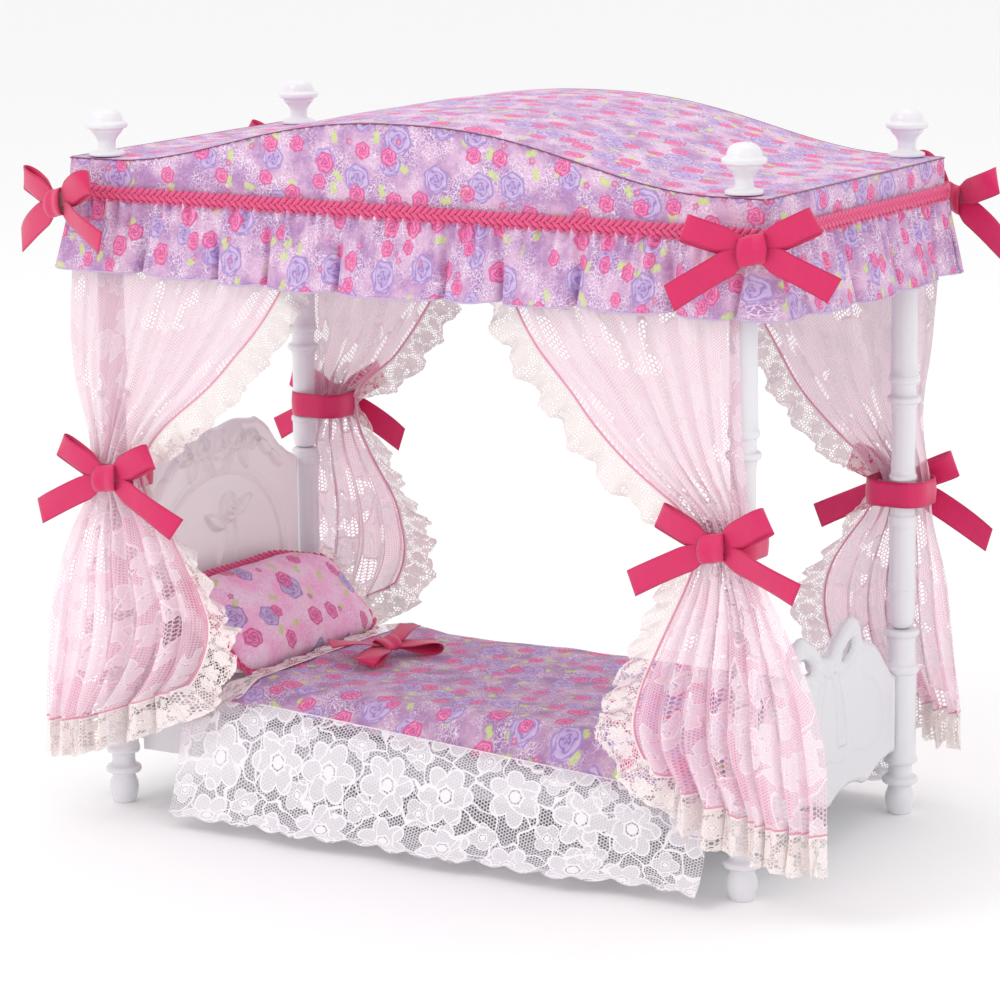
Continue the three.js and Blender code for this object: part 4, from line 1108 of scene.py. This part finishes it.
def side_trim(end, flank, plan, curtain):
    """Lace along the curtain's inner edge, carried on past it; at the tie it is gathered with the rest.

    It leaves the edge at a right angle in the curtain's plane, and ruffles as sine waves that grow towards its
    free edge, which is cut in small scallops. Also returns its last outward direction.
    """
    v = np.linspace(0, 1, 640)[:, None]
    t = np.linspace(0, 1, 16)[None, :]
    edge = curtain(np.ones_like(t), v)
    z = edge[..., 2]
    tied = 1 - 0.86 * np.exp(-((z - plan["tie"]) / 9.0) ** 2)
    squeeze = tied * (1 - 0.45 * ease(*TUCK, z))
    loose = squeeze * (1 - 0.8 * ease(*TUCK, z))
    above = ease(plan["tie"], plan["tie"] + 12, z)
    s = v * SIDE_RUN
    beat = TAU * s / 13.5 + 1.2 * np.sin(s / 23)
    scallop = 1 + 0.1 * np.cos(beat) + 0.035 * np.abs(np.sin(math.pi * s / SCALLOP))
    down = unit(np.gradient(edge[:, 0, :], axis=0))
    outward = np.stack([-end * np.abs(down[:, 2]), 0 * down[:, 0], -np.abs(down[:, 0])], 1)
    reach = (TRIM_WIDTH * (1 - 0.15 * above) * squeeze * scallop) * t
    points = edge + outward[:, None, :] * reach[..., None]
    flutter = 2.6 * np.sin(beat) * t ** 1.3 + 0.9 * np.sin(2.6 * beat + 1) * t ** 2 + 0.5 * t
    points[..., 1] += flank * flutter * loose
    points[..., 2] += 0.9 * np.cos(beat + 0.8) * t ** 2 * loose
    return points, flat_uv(s * 1.3, t * TRIM_WIDTH), outward[-1]


def hem_trim(end, flank, curtain, side_end, outward):
    """Lace along the curtain's hem: it hangs down in waves and turns the corner to meet the side trim's end."""
    u = np.linspace(0, 1, 260)[None, :]
    t = np.linspace(0, 1, 16)[:, None]
    points = curtain(u, np.ones_like(t))
    q = u * HEM_RUN
    beat = TAU * q / 13.0 + 1.1 * np.sin(q / 17)
    scallop = 1.06 + 0.06 * np.cos(beat) + 0.03 * np.abs(np.sin(math.pi * q / SCALLOP))
    corner = ease(0.8, 1.0, u)
    drop = TRIM_WIDTH * scallop * t
    points[..., 0] += (outward[0] * corner) * drop + end * 0.9 * np.cos(beat) * t ** 1.5
    points[..., 2] += -(1 - corner) * drop + outward[2] * corner * drop
    points[..., 1] += flank * (1.5 * np.sin(beat) * t + t)
    join = ease(0.9, 1.0, u)[..., None]
    points = points * (1 - join) + np.swapaxes(side_end, 0, 1) * join
    return points, flat_uv(q, t * TRIM_WIDTH)


def curtain_pieces(end_name, flank_name):
    """One curtain, the trim of its inner edge and hem, and the seam cord, as grids that share their border."""
    end, flank = ENDS[end_name], FLANKS[flank_name]
    plan = CURTAINS[end_name, flank_name]

    def curtain(u, v):
        return grid_of(*curtain_surface(end, flank, plan, u, v))

    u = np.linspace(0, 1, 130)[None, :]
    v = np.linspace(0, 1, 150)[:, None]
    main = curtain(u, v)
    side, side_uv, outward = side_trim(end, flank, plan, curtain)
    hem = hem_trim(end, flank, curtain, side[-1:], outward)
    seam = np.vstack([main[:-1, -1], main[-1, ::-1]])
    across = np.tile([0.0, 1.0, 0.0], (len(seam), 1))
    over = unit(np.cross(np.gradient(seam, axis=0), across))
    cord = round_cord(seam, across, over, SEAM_CORD, SEAM_CORD, 6)
    return (main, flat_uv(u * CURTAIN_WIDTH, v * CURTAIN_DROP)), [(side, side_uv), hem], cord


# ---- operators --------------------------------------------------------------------------------------------
class DOLLBED_OT_frame(bpy.types.Operator):
    """Turned posts with their finials, and the rails and deck in white plastic"""

    bl_idname = "dollbed.frame"
    bl_label = "Posts and rails"

    def execute(self, context):
        plastic = finish("plastic")
        for name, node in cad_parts.items():
            if name.startswith(("bed_rail", "bed_deck", "canopy_rail")):
                node.data.materials.clear()
                node.data.materials.append(plastic)
        for end_name, flank_name in CORNERS:
            x, y = ENDS[end_name] * POST_X, FLANKS[flank_name] * POST_Y
            corner = f"{end_name}_{flank_name}"
            head = end_name == "head"
            collar, joint = (HEAD_COLLAR, 110.3) if head else (FOOT_COLLAR, 67.3)
            flutes = (57, 102, 10, 0.5) if head else None
            shaft = [(4.65, joint)] + [p for p in SHAFT if p[1] > joint + 1]
            pieces = (
                ("lower_post", "post_lower", "root", [turned(capped(FOOT_PROFILE + collar), x, y, flutes)]),
                ("upper_post", "post_upper", "root", [turned(capped(shaft), x, y)]),
                ("finial", "finial", f"finial_{corner}_cap",
                 [turned(FINIAL_PROFILE, x, y), turned(capped(FINIAL_PEG), x, y)]))
            for piece, node, body, parts in pieces:
                make(f"turned_{piece}_{corner}", parts, plastic, body=body,
                     stands_for=[f"{node}_{corner}"], closed=True)
        return {"FINISHED"}


class DOLLBED_OT_boards(bpy.types.Operator):
    """Headboard with moulded roses and footboard with a moulded bow"""

    bl_idname = "dollbed.boards"
    bl_label = "Headboard and footboard"

    def execute(self, context):
        half = float(box_mm("headboard_panel")[1][1])
        parts = board(half, headboard_top, headboard_bottom, (170, 170), -POST_X, 1.6, headboard_relief)
        make("moulded_headboard", parts, finish("headboard plastic"),
             stands_for=["headboard_panel"], closed=True)
        parts = board(half, footboard_top, footboard_bottom, (230, 130), POST_X, 1.6, footboard_relief,
                      hole=footboard_hole, face=-1)
        foot = make("moulded_footboard", parts, finish("footboard plastic"),
                    stands_for=["footboard_panel"], closed=True)
        drop_open_faces(foot, POST_X)
        return {"FINISHED"}


class DOLLBED_OT_canopy(bpy.types.Operator):
    """Printed canopy: arched roof, side panels, piped seam, gathered frill and fishtail braid"""

    bl_idname = "dollbed.canopy"
    bl_label = "Canopy"

    def execute(self, context):
        print_cloth = finish("print")
        roof = make("canopy_roof_cloth", [roof_surface()], print_cloth,
                    stands_for=["canopy_roof"], thickness=PRINT_THICK)
        panels = make("canopy_side_panels", [valance_surface()], print_cloth,
                      stands_for=[f"valance_{n}" for n in (*FLANKS, *ENDS)], thickness=PRINT_THICK)
        # The band is cut 29 mm deep; its arched top edge leaves less area than the full rectangle.
        points, uv, hem, height, facing = frill_surface()
        frill = make("canopy_frill", [(points, uv)], print_cloth,
                     stands_for=[f"frill_{n}" for n in (*FLANKS, *ENDS)], thickness=FRILL_THICK)

        line = points[-1]
        hem_cord = round_cord(line, np.column_stack([facing, 0 * line[:, 0]]), np.tile(UP, (len(line), 1)),
                              *OVERLOCK, 6)
        make("canopy_frill_hem_overlock", [hem_cord], finish("overlock"), closed=True)

        path, normal, s = box_path(CANOPY_X, CANOPY_Y, 2.0, 1.2)
        seam = np.column_stack([path + normal * 0.25, seam_height(path) + 0.1])
        side = np.column_stack([normal, 0 * s])
        up = np.tile(UP, (len(s), 1))
        make("canopy_seam_thread", [round_cord(seam, side, up, SEAM_THREAD, SEAM_THREAD, 7)], finish("thread"),
             closed=True)

        line = np.column_stack([path + normal * 1.5, np.full(len(s), BRAID_Z)])
        parts = braid_stitches(line, side, up, 2.7, 5.6, 1.6)
        make("canopy_fishtail_braid", parts, finish("braid"), stands_for=["canopy_braid"], closed=True)
        return {"FINISHED"}


class DOLLBED_OT_bows(bpy.types.Operator):
    """Ribbon bows on the canopy's corners and the ties that hold the curtains"""

    bl_idname = "dollbed.bows"
    bl_label = "Bows and ties"

    def execute(self, context):
        width = context.scene.dollbed_cloth.ribbon_width
        ribbon = finish("ribbon")
        for k, (end_name, flank_name) in enumerate(CORNERS):
            end, flank = ENDS[end_name], FLANKS[flank_name]
            corner = f"{end_name}_{flank_name}"
            facing = end * CANOPY_BOW_TURN if flank < 0 else math.pi - end * CANOPY_BOW_TURN
            x = end * (CANOPY_X - 1.0)
            y = flank * (CANOPY_Y + 7.5)
            parts = placed(bow_parts(width, 1.0, 30 + k, tail=29.0), bow_matrix(x, y, CANOPY_BOW_Z, facing, 0.05))
            make(f"canopy_bow_{corner}", parts, ribbon, stands_for=[f"corner_bow_{corner}"],
                 thickness=RIBBON_THICK)

            plan = CURTAINS[end_name, flank_name]
            facing = 0.0 if flank < 0 else math.pi
            parts = placed(bow_parts(width, 0.97, 40 + k, tail=plan["tail"]),
                           bow_matrix(end * plan["knot"], flank * KNOT_Y, plan["tie"], facing, 0.03 * end))
            parts.append(self.band(end * plan["band"], flank, plan["tie"], width))
            make(f"curtain_ribbon_{corner}", parts, ribbon, stands_for=[f"curtain_tie_{corner}"],
                 thickness=RIBBON_THICK)
        return {"FINISHED"}

    def band(self, x, flank, z, width):
        """The ribbon round post and curtain: a rounded rectangle in plan, the ribbon's width upright."""
        path, normal, s = box_path(11.0, 10.0, 7.0, 0.8)
        w = np.linspace(-0.5, 0.5, 7)
        belly = 0.35 * np.cos(math.pi * w)
        xy = path[:, None, :] + normal[:, None, :] * belly[None, :, None]
        height = z + w[None, :] * width + 0 * s[:, None]
        points = np.stack([xy[..., 0] + x, xy[..., 1] + flank * BAND_Y, height], -1)
        return points, flat_uv(w[None, :] + 0.5, s[:, None])


class DOLLBED_OT_curtains(bpy.types.Operator):
    """Pink lace curtains with cream scalloped trims, gathered and tied to the posts"""

    bl_idname = "dollbed.curtains"
    bl_label = "Curtains"

    def execute(self, context):
        for end_name, flank_name in CORNERS:
            corner = f"{end_name}_{flank_name}"
            main, trims, seam = curtain_pieces(end_name, flank_name)
            curtain = make(f"lace_curtain_{corner}", [main], finish("curtain lace"),
                           stands_for=[f"curtain_{corner}"])
            trim = make(f"lace_curtain_trim_{corner}", trims, finish("cream lace"),
                        stands_for=[f"curtain_trim_{corner}"])
            make(f"lace_curtain_seam_{corner}", [seam], finish("curtain seam"), closed=True)
        return {"FINISHED"}


class DOLLBED_OT_bedding(bpy.types.Operator):
    """Mattress, pillow, duvet and lace skirt"""

    bl_idname = "dollbed.bedding"
    bl_label = "Bedding"

    def execute(self, context):
        self.mattress()
        self.pillow()
        self.duvet()
        self.skirts()
        return {"FINISHED"}

    def mattress(self):
        """Slab with round edges: a superellipse in plan and in section."""
        low, high = box_mm("mattress")
        middle, half = (low + high) / 2, (high - low) / 2
        points = superellipsoid(half, (8, 5), (70, 30)) + middle
        piece = make("cotton_mattress", [(points, flat_uv(points[..., 0], points[..., 1]))],
                     finish("ticking"), stands_for=["mattress"], closed=True)

    def pillow(self):
        """Cushion leaning on the headboard, with braid round its edge and a lace ruffle at each short end."""
        low, high = box_mm("pillow")
        middle = (low + high) / 2
        lean = math.radians(47)
        turn = np.array(Matrix.Rotation(lean, 3, "Y"))
        half_long, half_high, thick = 44.0, 21.5, 9.6
        a = np.linspace(-1, 1, 80)[:, None]
        b = np.linspace(-1, 1, 50)[None, :]
        p, q = cushion_plan(a, b, half_high, half_long)
        crown = ((1 - a ** 4) * (1 - b ** 4)) ** 0.5
        parts = []
        for side, fullness in ((1, 1.0), (-1, 0.7)):
            crease = 0.6 * ripple(q, p, 26, 7 + side) * crown
            pucker = 0.5 * np.sin(TAU * q / 6.5 + 2 * np.sin(q / 9)) * (1 - crown) * crown
            h = side * (thick * fullness * crown + crease + pucker)
            local = np.stack([p, q, h], -1)
            parts.append((local @ turn.T + middle, flat_uv(q + 60 * side, p)))
        pillow = make("printed_pillow", parts, finish("pillow print"), body="pillow_set",
                      stands_for=["pillow"], closed=True)
        puff(pillow, 5.0)

        edge = edge_loop(half_high, half_long)
        s = lengths_along(edge)
        ahead = heading(edge)
        out = np.stack([ahead[:, 1], -ahead[:, 0], 0 * s], 1)
        out = unit(out * np.sign((out * edge).sum()))
        line = (edge + out * 0.6) @ turn.T + middle
        rise = np.tile(np.array([0, 0, 1.0]) @ turn.T, (len(s), 1))
        parts = braid_stitches(line, rise, out @ turn.T, 3.0, 5.8, 1.3)
        make("pillow_fishtail_braid", parts, finish("braid"), body="pillow_set",
             stands_for=["pillow_braid"], closed=True)

        for flank_name, flank in FLANKS.items():
            t = np.linspace(0, 1, 12)[:, None]
            r = np.linspace(-1, 1, 130)[None, :]
            wave = np.sin(TAU * r * 4.5 + flank)
            across = flank * (half_long - 1 + 8.5 * t * (1 + 0.1 * np.abs(np.sin(TAU * r * 5))))
            along = r * (half_high - 3) + 1.2 * t * np.cos(TAU * r * 4.5)
            local = grid_of(along, across, 1.5 * wave * t)
            ruffle = make(f"pillow_lace_ruffle_{flank_name}",
                          [(local @ turn.T + middle, flat_uv(r * 26, t * TRIM_WIDTH))],
                          finish("cream lace"), body="pillow_set",
                          stands_for=[f"pillow_ruffle_{flank_name}"])

    def duvet(self):
        """One quilt: two skins over the bed that meet at the edges.

        The top skin is a low crown with soft ripples, blended down to the long edges over the outer quarter. Near
        the rim both skins close on their middle in a quarter circle of 3 mm.
        """
        x = np.linspace(DUVET_HEAD, DUVET_FOOT, 150)[None, :]
        y = np.linspace(-1, 1, 100)[:, None]
        xx, side = np.broadcast_arrays(x, y)
        plan = 62.5 * side * (1 + 0.006 * ripple(xx, 0 * xx, 60, 3))
        edge = np.abs(side)
        front = duvet_edge(xx, np.sign(side))
        crown = 47.6 - 1.4 * ((xx - 20) / 100) ** 2
        crown = crown + 0.55 * ripple(xx, plan, 34, 9) + 0.3 * ripple(xx, plan, 15, 12)
        over = ease(0.72, 1.0, edge) ** 1.5
        end_fall = ease(100, 118, xx) * 3 - 2.3 * (1 - ease(-74, -50, xx))
        top = crown * (1 - over) + (front + 0.6) * over - end_fall
        under = (MATTRESS_TOP + 0.7) * (1 - ease(0.8, 0.95, edge)) + (front - 0.9) * ease(0.8, 0.95, edge)
        rim = np.minimum.reduce([(1 - edge) * 62, xx - DUVET_HEAD, DUVET_FOOT - xx])
        close = np.sqrt(np.clip(1 - (1 - np.clip(rim / 3.0, 0, 1)) ** 2, 0, 1))
        middle = (top + under) / 2
        half = (top - under) / 2
        parts = []
        for face in (1, -1):
            points = grid_of(xx, plan, middle + face * half * close)
            parts.append((points, flat_uv(xx - DUVET_HEAD + 11, plan + 200 * face)))
        quilt = make("printed_duvet", parts, finish("quilt print"), body=None,
                     stands_for=["duvet_head", "duvet_foot"], closed=True)
        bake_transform(quilt)

        # Lace strip along the head edge: flat on the quilt, then a little past it and down.
        t = np.linspace(0, 1, 14)[:, None]
        w = np.linspace(-1, 1, 200)[None, :]
        yy = 63.5 * w
        over = ease(0.72, 1.0, np.abs(w)) ** 1.5
        base = 48.3 * (1 - over) + (duvet_edge(DUVET_HEAD + 0 * w, np.sign(w)) + 3.4) * over
        scallop = 1 + 0.1 * (np.abs(np.sin(math.pi * yy / 5)) - 0.5)
        corner = ease(0.78, 1.0, np.abs(w))
        xs = -72.5 - (10.5 + 7.0 * corner) * t * scallop
        zs = base + 1.0 - (1.9 + 5.0 * corner) * t ** 1.5 - 2.0 * corner + 0.5 * np.sin(yy / 3.1) * t
        points = grid_of(xs, yy + 0 * t, zs)
        strip = make("duvet_head_lace_strip", [(points, flat_uv(yy, t * TRIM_WIDTH))], finish("cream lace"),
                     body="duvet_turnback", stands_for=["duvet_head_lace"])

        width = bpy.context.scene.dollbed_cloth.ribbon_width
        lay = (Matrix.Translation((-54, 5, 51.2)) @ Matrix.Rotation(math.radians(-106), 4, "Z")
               @ Matrix.Rotation(math.radians(-12), 4, "X"))
        parts = placed(bow_parts(width, 0.88, 61, flat=0.8, tail=24.0), lay)
        make("duvet_flat_bow", parts, finish("ribbon"), body="duvet_turnback", stands_for=["duvet_bow"],
             thickness=RIBBON_THICK)

    def skirts(self):
        """Wide lace skirts: they start on the duvet's edge, roll over it and flare to a scalloped hem.

        Outwards = 61 mm + a 3.4 mm roll + flare x v^1.15 + waves that grow with v^1.5. Height falls from the
        duvet's edge with v^0.85, less the scallops; the first tenth at the head droops.
        """
        for flank_name, flank in FLANKS.items():
            u = np.linspace(0, 1, 420)[None, :]
            v = np.linspace(0, 1, 46)[:, None]
            hem_x = -92 + 210 * u
            top_x = -95 + 211 * u
            x = top_x + (hem_x - top_x) * v
            edge = duvet_edge(x, flank * np.ones_like(x))
            flare = 19.5 - 5.5 * ease(0.6, 1.0, u) - 3.5 * (1 - ease(0, 0.12, u))
            out = 61.0 + 3.4 * ease(0, 0.12, v) + flare * v ** 1.15
            wave = np.sin(TAU * u * 4.2 + 0.6) + 0.4 * np.sin(TAU * u * 9.3)
            out = out + 1.5 * wave * v ** 1.5
            scallop = 1.6 * (np.abs(np.sin(math.pi * u * 190 / 11.5)) - 0.5) * ease(0.93, 1.0, v)
            droop = 9.0 * (1 - ease(0, 0.1, u)) * (1 - v) + ease(0, 0.1, v)
            z = edge + 1.8 - droop - (edge - 4.6) * ease(0, 1, v) ** 0.85 - scallop
            z = np.maximum(z, FLOOR_GAP)
            points = grid_of(x, flank * out, z)
            skirt = make(f"lace_skirt_{flank_name}", [(points, flat_uv(u * 200, v * SKIRT_DROP))],
                         finish("white lace"), stands_for=[f"bed_skirt_{flank_name}"])


def duvet_edge(x, side):
    """Height of the duvet's long edge: 42 mm at the head; at the foot 30 mm in front and 38 mm at the back."""
    fall = np.where(side < 0, 0.062, 0.02)
    return 42.2 - fall * (x + 74)


def superellipsoid(half, powers, steps):
    """Closed rounded box: powers (plan, section) give how square it is, steps the rings and the points in each."""
    plan, section = powers
    turn = np.linspace(0, TAU, steps[0] + 1)[None, :]
    polar = np.linspace(-math.pi / 2, math.pi / 2, steps[1])[:, None]
    curve = [np.sign(f) * np.abs(f) ** (2 / p) for f, p in (
        (np.cos(turn), plan), (np.sin(turn), plan), (np.cos(polar), section), (np.sin(polar), section))]
    x, y, z = curve[0] * curve[2], curve[1] * curve[2], curve[3] + 0 * turn
    return np.stack([x * half[0], y * half[1], z * half[2]], -1)


def cushion_plan(a, b, half_p, half_q):
    """Plan of a cushion for a and b from -1 to 1: its sides pull in a little and its corners are rounded.

    The top edge (b below 0) slumps towards its back end.
    """
    slump = np.where(np.asarray(b) < 0, 1 - 0.3 * ease(0.3, 1.0, a), 1.0)
    p = b * half_p * slump * (1 - 0.06 * (1 - a ** 2)) * (1 - 0.15 * a ** 8)
    q = a * half_q * (1 - 0.04 * (1 - b ** 2)) * (1 - 0.07 * b ** 8)
    return p, q


def edge_loop(half_p, half_q):
    """The cushion's seam in its own plane, once round and closed."""
    run, one = np.linspace(-1, 1, 60)[:-1], np.ones(59)
    sides = [cushion_plan(a, b, half_p, half_q) for a, b in (
        (run, one), (one, -run), (-run, -one), (-one, run))]
    loop = np.vstack([np.column_stack([p, q, 0 * p]) for p, q in sides])
    return np.vstack([loop, loop[:1]])


def puff(piece, cap):
    """Fills a cushion by a short cloth simulation with inside pressure; no point may move further than cap mm."""
    rest = np.empty(len(piece.data.vertices) * 3)
    piece.data.vertices.foreach_get("co", rest)
    cloth = piece.modifiers.new("stuffing", "CLOTH")
    cloth.settings.use_pressure = True
    cloth.settings.uniform_pressure_force = 4.0
    cloth.settings.effector_weights.gravity = 0.0
    cloth.settings.tension_stiffness = 12
    cloth.settings.bending_stiffness = 0.3
    scene = bpy.context.scene
    for step in range(1, 13):
        scene.frame_set(step)
    posed = piece.evaluated_get(bpy.context.evaluated_depsgraph_get())
    moved = np.empty_like(rest)
    posed.data.vertices.foreach_get("co", moved)
    piece.modifiers.remove(cloth)
    scene.frame_set(1)
    shift = (moved - rest).reshape(-1, 3)
    length = np.linalg.norm(shift, axis=1)[:, None]
    shift *= np.minimum(1, cap * MM / np.maximum(length, 1e-9))
    piece.data.vertices.foreach_set("co", (rest.reshape(-1, 3) + shift).ravel())
    piece.data.update()


class DOLLBED_OT_stage(bpy.types.Operator):
    """Plain pale floor, soft studio light and the camera"""

    bl_idname = "dollbed.stage"
    bl_label = "Stage"

    def execute(self, context):
        scene = context.scene
        scene.view_settings.view_transform = "Standard"
        scene.cycles.transparent_max_bounces = 32
        mesh = bpy.data.meshes.new("studio_floor")
        reach = 6.0
        corners = [(x * reach, y * reach, 0) for x, y in ((-1, -1), (1, -1), (1, 1), (-1, 1))]
        mesh.from_pydata(corners, [], [(0, 1, 2, 3)])
        floor = bpy.data.objects.new("studio_floor", mesh)
        scene.collection.objects.link(floor)
        paper, _, shader = new_material("white studio paper", 0.95, Specular_IOR_Level=0.1)
        shader.inputs["Base Color"].default_value = linear("#FFFFFF")
        mesh.materials.append(paper)

        world = bpy.data.worlds.new("studio")
        scene.world = world
        world.use_nodes = True
        background = world.node_tree.nodes["Background"]
        background.inputs[0].default_value = (1, 1, 1, 1)
        background.inputs[1].default_value = 0.93
        # Square lamps that face the middle of the bed: place and size in metres, power in watts.
        aim = Vector((0, 0, 0.1))
        for name, place, size, power in (
                ("key", (-0.6, -1.0, 1.2), 0.7, 4.2), ("fill", (1.2, -0.6, 0.7), 0.9, 1.2),
                ("top", (0.0, 0.3, 1.5), 1.0, 2.2)):
            light = bpy.data.lights.new(name, "AREA")
            light.size = size
            light.energy = power
            lamp = bpy.data.objects.new(name, light)
            scene.collection.objects.link(lamp)
            lamp.location = place
            lamp.rotation_euler = (Vector(place) - aim).to_track_quat("Z", "Y").to_euler()

        self.camera(scene)
        return {"FINISHED"}

    def camera(self, scene):
        """A long lens 31 degrees round to the right of the front and 11 degrees up."""
        azimuth, elevation, roll = (math.radians(a) for a in (30.93, 11.22, -0.51))
        back = np.array([math.sin(azimuth) * math.cos(elevation), -math.cos(azimuth) * math.cos(elevation),
                         math.sin(elevation)])
        right = np.array([math.cos(azimuth), math.sin(azimuth), 0])
        up = np.cross(back, right)
        level_right = math.cos(roll) * right + math.sin(roll) * up
        level_up = -math.sin(roll) * right + math.cos(roll) * up
        aim, distance = np.array([-2.6, 0, 111.3]) * MM, 1.418
        place = aim + back * distance
        data = bpy.data.cameras.new("camera")
        data.lens = 144.97
        data.sensor_width = 36
        data.clip_end = 20
        camera = bpy.data.objects.new("camera", data)
        scene.collection.objects.link(camera)
        matrix = Matrix.Identity(4)
        for k, axis in enumerate((level_right, level_up, back, place)):
            for row in range(3):
                matrix[row][k] = axis[row]
        camera.matrix_world = matrix
        scene.camera = camera


class DOLLBED_PT_panel(bpy.types.Panel):
    """Lists the bed's settings and steps"""

    bl_idname = "DOLLBED_PT_panel"
    bl_label = "Doll bed"
    bl_space_type = "VIEW_3D"
    bl_region_type = "UI"
    bl_category = "Doll bed"

    def draw(self, context):
        for group in (context.scene.dollbed_cloth, context.scene.dollbed_frame):
            for key in group.__annotations__:
                self.layout.prop(group, key)
        for step in STEPS:
            self.layout.operator(step.bl_idname)


STEPS = (DOLLBED_OT_stage, DOLLBED_OT_frame, DOLLBED_OT_boards, DOLLBED_OT_canopy, DOLLBED_OT_bows,
         DOLLBED_OT_curtains, DOLLBED_OT_bedding)
GROUPS = {"dollbed_cloth": DOLLBED_PG_cloth, "dollbed_frame": DOLLBED_PG_frame}


def register():
    for cls in (*GROUPS.values(), *STEPS, DOLLBED_PT_panel):
        bpy.utils.register_class(cls)
    for name, cls in GROUPS.items():
        setattr(bpy.types.Scene, name, bpy.props.PointerProperty(type=cls))


def unregister():
    for name in GROUPS:
        delattr(bpy.types.Scene, name)
    for cls in reversed((*GROUPS.values(), *STEPS, DOLLBED_PT_panel)):
        bpy.utils.unregister_class(cls)


def main():
    register()
    for step in STEPS:
        module, name = step.bl_idname.split(".")
        getattr(getattr(bpy.ops, module), name)()
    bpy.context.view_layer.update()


if __name__ == "__main__":
    main()
